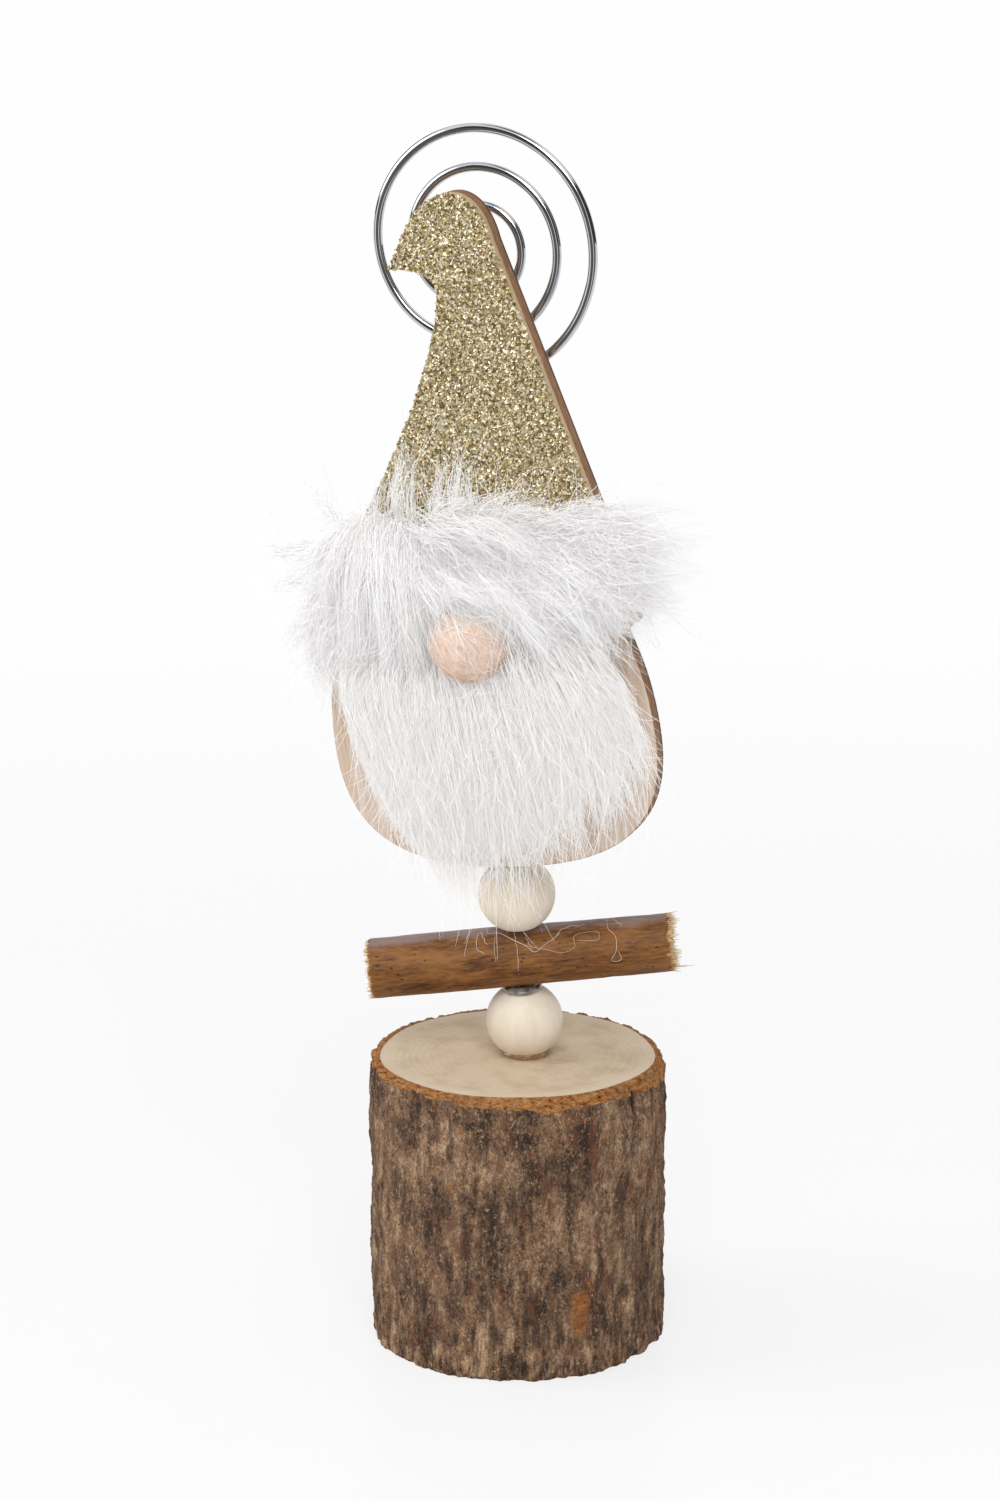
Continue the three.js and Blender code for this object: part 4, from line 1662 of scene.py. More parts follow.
@dataclass
class Twig:
    """A twig across the stem, with frayed ends, the glue under it and loose hairs on it."""

    radius: float = 5.5
    bark_length: float = 54.4
    bark: float = 0.75
    core_length: float = 56.0
    glue_z: float = 13.1
    glue_radius: float = 2.9
    fibre_radius: float = 0.11
    hair_radius: float = 0.045
    hair_steps: int = 40
    bark_columns: int = 120
    bark_rows: int = 150
    core_columns: int = 96
    # Each loose hair as places along the twig and angles up round its front.
    hair_paths: tuple[tuple[Pair, ...], ...] = (
        ((-4.4, 77), (-0.5, 47), (4.2, 28), (8.4, 19), (10.3, 30), (10.0, 43), (12.5, 52), (14.7, 48),
         (14.8, 39), (13.2, 36), (10.8, 38)),
        ((16.2, 80), (16.5, 55), (17.6, 36), (17.6, 16), (16.6, -5), (18.3, -2), (17.8, 11)),
        ((-0.4, 56), (-0.2, 24), (-0.4, -18)),
        ((-4.0, 66), (-4.3, 36), (-4.2, 13)),
        ((-6.9, 78), (-7.3, 60), (-7.5, 44), (-7.0, 33), (-6.0, 29)),
        ((-5.2, 74), (-2.0, 59), (1.5, 34), (3.0, 25), (4.7, 34), (7.7, 55)),
        ((-14.2, 93), (-14.1, 80), (-14.0, 66)),
        ((5.9, 39), (8.5, 65), (12.2, 72)),
        ((-6.6, 80), (-6.2, 60), (-5.6, 44)),
        ((-8.2, 84), (-9.0, 66), (-9.6, 52)),
        ((1.2, 66), (2.0, 40), (2.4, 30)),
        ((17.4, 84), (18.0, 70), (19.0, 60)),
    )  # fmt: skip

    def build(self, bench: Bench, frames: Frames) -> None:
        """Make the bark, the core, the frayed fibres, the glue and the loose hairs.

        Args:
            bench: Fits the pieces.
            frames: The frames of the pieces.
        """
        bark, wood, glue = TwigBark("streaked_twig"), TwigWood("torn_wood"), Glue("squeezed_glue")
        bench.fit_skin("twig_bark_skin", self.skin(), frames.twig, bark, "twig_bark")
        bench.fit_skin("twig_core_wood", self.core(), frames.twig, wood, "twig_core")
        fibres = Strands.tapered(self.fibres(), 31, 1.0, 0.4)
        finish = Fibre("twig_fibre").material()
        thing = bench.sweeper.sweep("twig_end_fibres", fibres, frames.twig, self.fibre_radius, finish)
        bench.fit(thing)
        bench.fit_skin("twig_glue_blob", self.glue(), frames.stem, glue, "twig_glue")
        hairs = Strands.tapered(self.hairs(), 32, 0.8, 0.6)
        finish = Fibre("loose_hair", "#d4c9b8", "#ebe3d7", "#c2b39c", 0.5).material()
        thing = bench.sweeper.sweep("loose_hairs", hairs, frames.twig, self.hair_radius, finish)
        bench.fit(thing)

    def skin(self) -> Skin:
        """Make the bark: a long tube with ragged ends.

        Returns:
            The skin.
        """
        angle = all_round(self.bark_columns)
        ring = turned(1, angle)
        noise = Lattice(33)
        ragged = 0.35 * noise.at(ring * 4) + 0.3 * noise.at(ring * 11) + 0.2 * noise.at(ring * 30)
        left = -self.bark_length / 2 + 0.6 * ragged
        right = self.bark_length / 2 + ragged[::-1] * 1.3 - 0.3
        x = left + (right - left) * np.linspace(0, 1, self.bark_rows)[:, None]
        spin = np.broadcast_to(angle, x.shape)
        spot = turned_about_x(self.radius, spin, x)
        r = self.radius * (1 + 0.015 * np.sin(2 * spin + 0.09 * x)) - 0.1
        r = r + 0.14 * noise.rough(spot * (0.05, 0.25, 0.25), 2)
        r = r + 0.06 * noise.rough(spot * (0.3, 1.3, 1.3) + 9, 2)
        lip = np.clip(1 - np.minimum(x - left, right - x) / 0.5, 0, 1)
        outer = turned_about_x(r - 0.25 * lip**2, spin, x)
        ends = [turned_about_x(self.radius - self.bark, angle, end)[None] for end in (left, right)]
        bare = np.ones((1, self.bark_columns))
        shade = np.concatenate([bare, lip, bare])
        return Skin().grid(np.concatenate([ends[0], outer, ends[1]]), shade, loop=True)

    def core(self) -> Skin:
        """Make the core: a rod with torn, uneven ends.

        Returns:
            The skin.
        """
        noise = Lattice(34)
        half = self.core_length / 2
        shares = np.concatenate([np.linspace(0.08, 0.97, 16), [1.0]])
        share = np.concatenate([shares, shares[::-1]])[:, None]
        x = np.repeat([-half, half], len(shares))[:, None]
        points = turned_about_x((self.radius - self.bark + 0.05) * share, all_round(self.core_columns), x)
        torn = 0.5 * noise.rough(points * (0.1, 0.9, 0.9), 3) - 0.35
        points[..., 0] += np.sign(points[..., 0]) * (torn - 0.35 * share**6)
        patches = ((0, 0, 0.9, 1), (0.92, 0, 1, 0.4), (0.92, 0.5, 1, 1))
        return Skin.closed(points, (1, 2), patches)

    def fibres(self) -> np.ndarray:
        """Give the frayed fibres of both ends, longer at the right.

        Returns:
            The runs of points.
        """
        draw = np.random.default_rng(35)
        runs = []
        for end, count, reach in ((-1.0, 150, 0.5), (1.0, 240, 1.3)):
            angle = draw.uniform(0, TURN, count)
            r = self.radius - draw.uniform(0.15, 1.5, count)
            out = draw.gamma(2.0, 0.35, count) * reach * 0.6 + 0.3
            start = self.bark_length / 2 - draw.uniform(0.1, 0.7, count)
            splay = draw.normal(0.12, 0.22, count) * out
            twist = draw.normal(0, 0.1, count) * out
            share = np.linspace(0, 1, 5)
            x = end * (start[:, None] + (out + 0.6)[:, None] * share)
            rr = r[:, None] + splay[:, None] * share**2
            aa = angle[:, None] + (twist / self.radius)[:, None] * share
            runs.append(turned_about_x(rr, aa, x))
        return np.concatenate(runs)

    def hairs(self) -> np.ndarray:
        """Give the loose hairs that lie on the twig's front.

        Returns:
            The runs of points.
        """
        runs = []
        for number, path in enumerate(self.hair_paths):
            keys = np.array(path, float)
            angle = np.radians(keys[:, 1])
            r = self.radius + 0.18 + 0.25 * (np.arange(len(keys)) % 2)
            solid = np.stack([keys[:, 0], -r * np.cos(angle), r * np.sin(angle)], -1)
            run = smooth_run(solid, np.linspace(0, 1, self.hair_steps))
            waves = np.sin(np.arange(self.hair_steps)[:, None] * 0.5 + number)
            runs.append(run + 0.12 * waves * (0.5, 0.6, 0.8))
        return np.array(runs)

    def glue(self) -> Skin:
        """Make the blob of glue squeezed out between the lower bead and the twig.

        Returns:
            The skin.
        """
        angle = all_round(GLUE_SIDES)
        section = all_round(28)[:, None]
        ring = turned(1, angle)
        noise = Lattice(36)
        bulge = 1 + 0.3 * noise.at(ring * 1.7 + 2) + 0.12 * noise.at(ring * 4)
        front = np.clip(-np.sin(angle + math.radians(-20)), 0, 1) ** 2
        thick = 0.7 * bulge + 0.25 * front
        r = self.glue_radius + (1.15 * thick + 0.35 * front) * np.cos(section)
        z = self.glue_z + 0.85 * thick * np.sin(section)
        return Skin().grid(turned(r, angle, z), loop=True)


# Gnome.


@dataclass
class Outline:
    """A flat outline in the gnome's XZ plane, anticlockwise seen from the front."""

    steps: int = 26
    points: list[np.ndarray] = field(default_factory=list)

    def start(self, x: float, z: float) -> Outline:
        """Begin at a point."""
        self.points.append(np.array([x, z]))
        return self

    def curve(self, *pairs: float) -> Outline:
        """Go on by a straight line, or a curve with one or two control points.

        Args:
            pairs: The control points' and the end's X and Z, one after another.

        Returns:
            The outline itself.
        """
        keys = [self.points[-1], *np.array(pairs, float).reshape(-1, 2)]
        for t in np.linspace(0, 1, self.steps + 1)[1:]:
            level = keys
            while len(level) > 1:
                level = [a + (b - a) * t for a, b in zip(level, level[1:])]
            self.points.append(level[0])
        return self

    def ring(self) -> np.ndarray:
        """Give the points once round, with none of them doubled.

        Returns:
            The points.
        """
        path = np.array(self.points)
        if np.linalg.norm(path[0] - path[-1]) > 1e-6:
            path = np.concatenate([path, path[:1]])
        spans = np.linalg.norm(np.diff(path, axis=0), axis=1)
        path = np.concatenate([path[:1], path[1:][spans > 1e-4]])
        return path[:-1]


@dataclass
class Board:
    """The plywood board and the glitter sheet on its hat."""

    half_width: float = 31.0
    bulge_z: float = 23.0
    top_half_width: float = 27.8
    top_z: float = 42.0
    hat_foot: float = 43.2
    back: float = -1.1
    front: float = -4.1
    sheet_back: float = -4.1
    sheet_front: float = -5.75
    board_soft: float = 0.22
    sheet_soft: float = 0.2
    flake_density: float = 13.0
    flake_size: float = 0.27
    flake_sides: int = 6
    flake_turns: tuple[Triple, Triple] = ((-0.5, -0.5, -6.3), (0.5, 0.5, 6.3))

    def hat(self, outline: Outline) -> Outline:
        """Trace the hat from its lower right corner to its lower left one.

        Args:
            outline: The outline so far.

        Returns:
            The outline itself.
        """
        outline.curve(31.8, self.hat_foot, 30.8, 47).curve(14, 111)
        outline.curve(13.3, 116.2, 10.8, 119.8, 7, 119.8).curve(1.8, 119.8, -2.2, 114.3, -5.6, 108)
        outline.curve(-2.5, 107.6, 2.6, 107.4, 2.6, 103.5).curve(1.8, 94.5, -7.5, 79.3, -13.9, 70.3)
        outline.curve(-31.2, 46.4).curve(-33, self.hat_foot, -self.top_half_width, self.hat_foot)
        return outline

    def board_ring(self) -> np.ndarray:
        """Trace the whole board from the bottom of the body.

        Returns:
            The outline.
        """
        w, t, z = self.half_width, self.top_half_width, self.top_z
        outline = Outline().start(0, 0).curve(20, 0, w, 6, w, self.bulge_z).curve(w, 31, 29.6, 37, t, z)
        self.hat(outline.curve(t, self.hat_foot))
        outline.curve(-t, z).curve(-29.6, 37, -w, 31, -w, self.bulge_z).curve(-w, 6, -20, 0, 0, 0)
        return outline.ring()

    def hat_ring(self) -> np.ndarray:
        """Trace the glitter sheet."""
        return self.hat(Outline().start(self.top_half_width, self.hat_foot)).ring()

    @staticmethod
    def plate(ring: np.ndarray, back: float, front: float, soft: float) -> Skin:
        """Make a flat plate with softened edges.

        Args:
            ring: The outline.
            back: Y of its back face.
            front: Y of its front face, which is lower.
            soft: How far the edges are rounded.

        Returns:
            The plate, whose edge share is 1 on its sides.
        """
        along = np.roll(ring, -1, 0) - np.roll(ring, 1, 0)
        along /= np.linalg.norm(along, axis=1)[:, None]
        out = np.stack([along[:, 1], -along[:, 0]], -1)
        ease = [(1.6, 0.0, 0.0), (1.0, 0.0, 0.15), (0.3, 0.3, 0.8), (0.0, 1.0, 1.0)]
        rows = [(i * soft, back - d * soft, s) for i, d, s in ease]
        rows += [(0.0, back + (front - back) * t, 1.0) for t in (0.35, 0.5, 0.65)]
        rows += [(i * soft, front + d * soft, s) for i, d, s in ease[::-1]]
        inset, y, shade = np.array(rows).T[..., None]
        flat = ring - out * inset[..., None]
        points = np.stack(np.broadcast_arrays(flat[..., 0], y, flat[..., 1]), -1)
        patches = ((0, 0, 1, 0.1), (0, 0.12, 0.49, 1), (0.51, 0.12, 1, 1))
        return Skin.closed(points, (0, 2), patches, shade)

    def build(self, bench: Bench, frames: Frames) -> None:
        """Make the board, the sheet and its flakes.

        Args:
            bench: Fits the pieces.
            frames: The frames of the pieces.
        """
        ply, foam = Plywood("grained_ply"), GlitterFoam("glitter_foam")
        board = self.plate(self.board_ring(), self.back, self.front, self.board_soft)
        bench.fit_skin("gnome_board_ply", board, frames.gnome, ply, "gnome_board")
        sheet = self.plate(self.hat_ring(), self.sheet_back, self.sheet_front, self.sheet_soft)
        bench.fit_skin("glitter_foam_sheet", sheet, frames.gnome, foam, "glitter_sheet")
        bench.fit(self.flakes(frames))

    def flakes(self, frames: Frames) -> bpy.types.Object:
        """Scatter six-sided flakes over the sheet's front.

        Args:
            frames: The frames of the pieces.

        Returns:
            The flakes as one piece.
        """
        ring = self.hat_ring()
        face = np.stack([ring[:, 0], np.full(len(ring), self.sheet_front - 0.03), ring[:, 1]], -1)
        mesh = bpy.data.meshes.new("glitter_flakes")
        mesh.from_pydata(moved(frames.gnome, face).tolist(), [], [list(range(len(ring)))])
        thing = place_mesh("glitter_flakes", mesh)
        tree = Sprout("scatter_flakes")
        sockets = {"Vertices": self.flake_sides, "Radius": 1.0}
        flake = tree.node("GeometryNodeMeshCircle", {"fill_type": "NGON"}, sockets)
        tree.close(tree.scattered(flake, self.flake_turns, (0.7, 1.3)), tree.value("Finish", "Material"))
        inputs = {"Density": self.flake_density / MM**2, "Size": self.flake_size * MM, "Seed": 41}
        grown = tree.grow(thing, {**inputs, "Finish": Flake("glitter_flake").material()})
        cells = np.random.default_rng(42).integers(0, COLUMNS, (len(grown.polygons), 2))
        corner = 0.5 + 0.4 * turned(1, all_round(self.flake_sides))[:, :2]
        layer = grown.uv_layers.new(name=BAKE_MAP)
        layer.data.foreach_set("uv", ((cells[:, None] + corner) / COLUMNS).astype(np.float32).ravel())
        return thing


@dataclass
class GlueDabs:
    """Dabs of glue that hold the board to the stem."""

    half_width: float = 4.5
    depth: float = 2.8
    half_height: float = 7.5
    back: float = -1.1
    lower_z: float = 54.0
    upper_z: float = 104.0
    finish: Glue = Glue("cloudy_glue", "#e2dfd8", "#cbc6bb", 0.12)

    def build(self, bench: Bench, frames: Frames) -> None:
        """Make both dabs.

        Args:
            bench: Fits the pieces.
            frames: The frames of the pieces.
        """
        for node, z, seed in (("wire_glue_lower", self.lower_z, 50), ("wire_glue_upper", self.upper_z, 51)):
            place = frames.stem @ shift_by(0, self.back, z)
            bench.fit_skin(f"{node}_dab", self.dab(seed), place, self.finish, node)
        bench.keep("nose_glue", self.finish)

    def dab(self, seed: int) -> Skin:
        """Make one dab: a low uneven dome with a flat face on the board.

        Args:
            seed: For its uneven edge.

        Returns:
            The skin.
        """
        angle = all_round(72)
        lift = np.radians(np.linspace(0, 86, 24))[:, None]
        noise = Lattice(seed)
        ring = turned(1, angle)
        edge = 1 + 0.1 * noise.at(ring * 1.6) + 0.05 * noise.at(ring * 4)
        reach = edge * np.cos(lift) ** 0.8
        x = self.half_width * reach * np.cos(angle)
        z = -self.half_height * reach * np.sin(angle)
        points = np.stack(np.broadcast_arrays(x, self.depth * np.sin(lift) ** 0.8, z), -1)
        points[..., 1] *= 1 + 0.12 * noise.rough(points * 0.35, 2)
        patches = ((0, 0, 0.85, 1), (0.88, 0, 1, 0.4), (0.88, 0.5, 1, 1))
        return Skin.closed(points, (0, 2), patches)


@dataclass
class Nose:
    """The felted ball, with loose fibres on it."""

    centre: Triple = (3.4, -13.4, 44.4)
    radius: float = 7.2
    # Fibres for each square millimetre, and the rings, sides and radius of one.
    density: float = 4.2
    rings: int = 5
    sides: int = 3
    fibre_radius: float = 0.028

    def build(self, bench: Bench, frames: Frames) -> None:
        """Make the ball and its fuzz.

        Args:
            bench: Fits the pieces.
            frames: The frames of the pieces.
        """
        place = frames.gnome @ shift_by(*self.centre)
        felt = Felt("matted_felt")
        ball = bench.fit_skin("nose_felt_ball", self.ball(), place, felt, "nose")
        bench.fit(self.fuzz(ball))

    def ball(self) -> Skin:
        """Make the lumpy ball.

        Returns:
            The skin.
        """
        lat = np.radians(np.linspace(-87, 87, 70))[:, None]
        unit = turned(np.cos(lat), all_round(110), np.sin(lat))
        noise = Lattice(61)
        r = self.radius - 0.1 + 0.14 * noise.rough(unit * 2.2, 2) + 0.09 * noise.rough(unit * 8, 2)
        patches = ((0, 0.06, 1, 0.94), (0, 0, 0.05, 0.05), (0, 0.95, 0.05, 1))
        return Skin.closed(unit * r[..., None], (0, 1), patches)

    def fuzz(self, ball: bpy.types.Object) -> bpy.types.Object:
        """Scatter bent fibres over the ball.

        Args:
            ball: The finished ball.

        Returns:
            The fibres as one piece.
        """
        thing = place_mesh("nose_felt_fuzz", ball.data.copy())
        tree = Sprout("scatter_felt")
        bend = {"Start": (-0.0011, 0, -0.0001), "Middle": (0, 0.0003, 0.0005), "End": (0.001, 0, 0.0001)}
        arc = tree.node("GeometryNodeCurveQuadraticBezier", None, {"Resolution": self.rings, **bend})
        sockets = {"Resolution": self.sides, "Radius": self.fibre_radius * MM}
        profile = tree.node("GeometryNodeCurvePrimitiveCircle", None, sockets)
        sockets = {"Curve": arc, "Profile Curve": profile, "Fill Caps": True}
        fibre = tree.node("GeometryNodeCurveToMesh", None, sockets)
        turns = ((-0.25, -0.25, 0.0), (0.25, 0.25, TURN))
        tree.close(tree.scattered(fibre, turns, (0.6, 1.5)), tree.value("Finish", "Material"))
        felt = Fibre("felt_fibre", "#f4d9c5", "#faeadd", "#ecc8b0", 0.8).material()
        inputs = {"Density": self.density / MM**2, "Size": 1.0, "Seed": 62, "Finish": felt}
        grown = tree.grow(thing, inputs)
        number = np.arange(len(grown.vertices))
        each = self.rings * self.sides
        columns = np.random.default_rng(63).integers(0, COLUMNS, len(number) // each + 1)
        along = (number % each // self.sides) / (self.rings - 1)
        lay_strand_map(grown, columns[number // each], along, self.sides)
        return thing


# Fur.


class Role(Enum):
    """What a lock does: it leads the fill round it, or it stands out alone."""

    FLOW = "flow"
    TUFT = "tuft"


@dataclass(frozen=True)
class Lock:
    """A lock of hair: its root's X and Z, then key points as X, Z and the distance in front of the stem."""

    root: Pair
    keys: tuple[Triple, ...]
    strands: int
    spread: float
    role: Role = Role.FLOW


class Groom:
    """Shapes runs of hair points, in the gnome's frame."""

    STEPS = np.array([0, 0.08, 0.2, 0.35, 0.52, 0.68, 0.84, 1.0])
    # The step in the middle, and how many strands are compared at a time.
    MIDDLE = 4
    BATCH = 2000
    # How far roots lie in front of the stem, and how far loose strands may leave the pile's face.
    root_depth = 7.7
    stand_off = 6.0

    def __init__(self, seed: int) -> None:
        """Start the draws."""
        self.draw = np.random.default_rng(seed)

    def curve(self, lock: Lock) -> np.ndarray:
        """Give a lock's centre line at the steps.

        Args:
            lock: The lock.

        Returns:
            The points.
        """
        keys = np.array([(*lock.root, self.root_depth), *lock.keys], float)
        solid = np.stack([keys[:, 0], -keys[:, 2], keys[:, 1]], -1)
        return smooth_run(solid, self.STEPS)

    def tuft(self, lock: Lock) -> np.ndarray:
        """Grow a lock's own strands, which draw together towards its tip.

        Args:
            lock: The lock.

        Returns:
            The runs of points.
        """
        n = lock.strands
        line = self.curve(lock)
        t = self.STEPS[None, :, None]
        root = self.draw.normal(0, 1, (n, 1, 3)) * (lock.spread, 0.0, lock.spread * 0.8)
        stand = self.draw.uniform(-0.6, 0.25, (n, 1, 1)) * np.array([0, 1, 0])
        tip = self.draw.normal(0, 1, (n, 1, 3)) * np.array([0.32, 0.3, 0.32]) * lock.spread
        reach = self.draw.uniform(0.62, 1.06, (n, 1, 1))
        shares = np.minimum(reach[:, 0], 1) * self.STEPS
        runs = np.stack([np.interp(shares, self.STEPS, axis) for axis in line.T], -1)
        thick = (line[:, 1] - line[0, 1])[None, :, None]
        runs = runs + root * (1 - t * reach) + tip * t + stand * thick * -0.35
        over = np.maximum(reach - 1, 0) * (line[-1] - line[-2]) * 6
        return runs + over * t**3

    def fill(self, roots: np.ndarray, locks: Sequence[Lock], reach: float) -> np.ndarray:
        """Grow strands from roots, each led by the locks near it.

        Args:
            roots: X and Z of each root.
            locks: The locks that lead.
            reach: How far a lock's lead reaches.

        Returns:
            The runs of points.
        """
        lines = np.array([self.curve(lock) for lock in locks])
        start = lines[:, 0][:, [0, 2]]
        gap = ((roots[:, None] - start[None]) ** 2).sum(-1)
        weight = np.exp(-gap / (2 * reach**2)) * self.draw.uniform(0.35, 1.0, gap.shape) + 1e-9
        weight = weight**2
        weight /= weight.sum(1, keepdims=True)
        moves = np.einsum("nk,kst->nst", weight, lines - lines[:, :1])
        base = (weight @ lines[:, 0])[:, 1]
        layer = self.draw.uniform(0.25, 1.0, (len(roots), 1)) ** 0.8
        share = self.draw.uniform(0.7, 1.04, (len(roots), 1, 1))
        moves = moves * share
        moves[..., 1] *= layer
        origin = np.stack([roots[:, 0], base, roots[:, 1]], -1)
        return origin[:, None] + moves

    def gather(self, runs: np.ndarray, count: int, pull: float, power: float = 1.5) -> np.ndarray:
        """Draw strands together into locks.

        Args:
            runs: The strands.
            count: How many of them lead a lock.
            pull: How far the tips go to their leader, from 0 to 1.
            power: How late along the strand the pull sets in.

        Returns:
            The gathered strands.
        """
        lead = runs[self.draw.choice(len(runs), count, replace=False)]
        middle, near = runs[:, self.MIDDLE], lead[:, self.MIDDLE]
        best = np.empty(len(runs), int)
        for start in range(0, len(runs), self.BATCH):
            batch = slice(start, start + self.BATCH)
            gap = ((middle[batch, None] - near[None]) ** 2 * (1, 0.6, 1)).sum(-1)
            best[batch] = gap.argmin(1)
        share = pull * self.draw.uniform(0.45, 1.0, (len(runs), 1, 1)) * self.STEPS[None, :, None] ** power
        return runs + (lead[best] - runs) * share

    def wave(self, runs: np.ndarray, size: float, length: float, patch: float) -> np.ndarray:
        """Bend neighbouring strands alike, in waves.

        Args:
            runs: The strands.
            size: Height of the wave.
            length: Length of the wave.
            patch: Size of the patches that bend alike.

        Returns:
            The wavy strands.
        """
        noise = Lattice(int(self.draw.integers(1 << 30)))
        seat = runs[:, :1] / patch
        phase = noise.at(seat) * 6
        run = np.cumsum(np.linalg.norm(np.diff(runs, axis=1, prepend=runs[:, :1]), axis=-1), axis=1)
        swing = size * np.sin(run * TURN / length + phase) * self.STEPS**0.7
        along = runs[:, -1] - runs[:, 0]
        across = np.cross(along, (0.0, 1.0, 0.0))
        across /= np.linalg.norm(across, axis=1, keepdims=True) + 1e-9
        return runs + across[:, None] * swing[..., None]

    def frizz(self, runs: np.ndarray, size: float, stray: float) -> np.ndarray:
        """Make each strand a little uneven, and some of them stray.

        Args:
            runs: The strands.
            size: Typical bend at the tip.
            stray: Share of strands that leave their lock.

        Returns:
            The uneven strands.
        """
        n = len(runs)
        amount = size * self.draw.gamma(1.6, 0.6, (n, 1, 1))
        strays = self.draw.random((n, 1, 1)) < stray
        amount = np.where(strays, amount + self.draw.uniform(1.2, 3.6, (n, 1, 1)), amount)
        aim = self.draw.normal(0, 1, (n, 1, 3)) * (1, 0.35, 1)
        curl = self.draw.normal(0, 1, (n, 1, 3)) * (1, 0.35, 1)
        t = self.STEPS[None, :, None]
        ripple = np.sin(t * self.draw.uniform(3, 8, (n, 1, 1)) + self.draw.uniform(0, TURN, (n, 1, 1))) * t
        return runs + amount * (aim * t**2 * 0.7 + curl * ripple * 0.35)

    def fluff(self, runs: np.ndarray, count: int, length: Pair, mix: float) -> np.ndarray:
        """Grow short strands that leave others sideways and soften their locks.

        Args:
            runs: The strands to leave.
            count: How many strands to grow.
            length: The shortest and the longest.
            mix: How far their directions differ from the strands they leave.

        Returns:
            The short strands.
        """
        pick = self.draw.choice(len(runs), count)
        step = self.draw.integers(2, 7, count)
        along = runs[pick, step + 1] - runs[pick, step - 1]
        along /= np.linalg.norm(along, axis=1, keepdims=True) + 1e-9
        aim = along + self.draw.normal(0, mix, (count, 3)) * (1, 0.5, 1) - (0.0, 0.25, 0.0)
        aim /= np.linalg.norm(aim, axis=1, keepdims=True) + 1e-9
        bend = self.draw.normal(0, 0.3, (count, 3)) * (1, 0.5, 1)
        reach = self.draw.uniform(*length, (count, 1, 1))
        t = self.STEPS[None, :, None]
        grown = reach * (aim[:, None] * t + bend[:, None] * t**2)
        grown[..., 1] = self.stand_off * np.tanh(grown[..., 1] / self.stand_off)
        return runs[pick, step][:, None] + grown

    @staticmethod
    def clear_ball(runs: np.ndarray, centre: Triple, radius: float) -> np.ndarray:
        """Push points out of a ball.

        Args:
            runs: The strands.
            centre: The ball's centre.
            radius: The ball's radius with the room round it.

        Returns:
            The strands, clear of the ball.
        """
        away = runs - np.array(centre)
        gap = np.linalg.norm(away, axis=-1, keepdims=True)
        return np.where(gap < radius, np.array(centre) + away / np.maximum(gap, 1e-6) * radius, runs)


def roots_within(ring: Sequence[Pair], count: int, draw: np.random.Generator) -> np.ndarray:
    """Scatter roots in an outline.

    Args:
        ring: The outline.
        count: How many roots.
        draw: The source of the draws.

    Returns:
        X and Z of each root.
    """
    corners = np.array(ring, float)
    low, high = corners.min(0), corners.max(0)
    found = np.empty((0, 2))
    while len(found) < count:
        tries = draw.uniform(low, high, (4 * count, 2))
        inside = np.zeros(len(tries), bool)
        for a, b in zip(corners, np.roll(corners, -1, 0)):
            crosses = (a[1] > tries[:, 1]) != (b[1] > tries[:, 1])
            rise = b[1] - a[1] if abs(b[1] - a[1]) > 1e-9 else 1e-9
            inside ^= crosses & (tries[:, 0] < a[0] + (tries[:, 1] - a[1]) * (b[0] - a[0]) / rise)
        found = np.concatenate([found, tries[inside]])
    return found[:count]


@dataclass
class Fur:
    """Long white pile: what the brim and the beard share."""

    node: str = "brim_fur"
    parts: int = 3
    hair: float = 0.055
    nose: Triple = (3.4, -13.4, 44.4)
    nose_room: float = 7.6
    bead: Triple = (-1.45, 0.0, -6.35)
    bead_room: float = 7.5
    board_front: float = -4.6
    board_foot: float = -0.5
    sides: Pair = (-43.0, 50.0)
    finish: Pile = Pile("white_hair")

    def runs(self) -> np.ndarray:
        """Give the strands."""
        raise NotImplementedError

    def build(self, bench: Bench, frames: Frames) -> None:
        """Sweep the strands, in pieces that stay light.

        Args:
            bench: Fits the pieces.
            frames: The frames of the pieces.
        """
        runs = Groom.clear_ball(self.runs(), self.nose, self.nose_room)
        runs = Groom.clear_ball(runs, self.bead, self.bead_room)
        behind = (runs[..., 2] > self.board_foot) & (runs[..., 1] > self.board_front)
        runs[..., 1] = np.where(behind, self.board_front, runs[..., 1])
        runs[..., 0] = np.clip(runs[..., 0], *self.sides)
        order = np.random.default_rng(71).permutation(len(runs))
        strands = Strands.tapered(runs[order], 72)
        finish = self.finish.material()
        edges = np.linspace(0, len(order), self.parts + 1).astype(int)
        for number, (start, stop) in enumerate(zip(edges, edges[1:]), 1):
            name = f"{self.node}_hair_{number}"
            thing = bench.sweeper.sweep(name, strands.part(start, stop), frames.gnome, self.hair, finish)
            bench.fit(thing, None, [self.node])


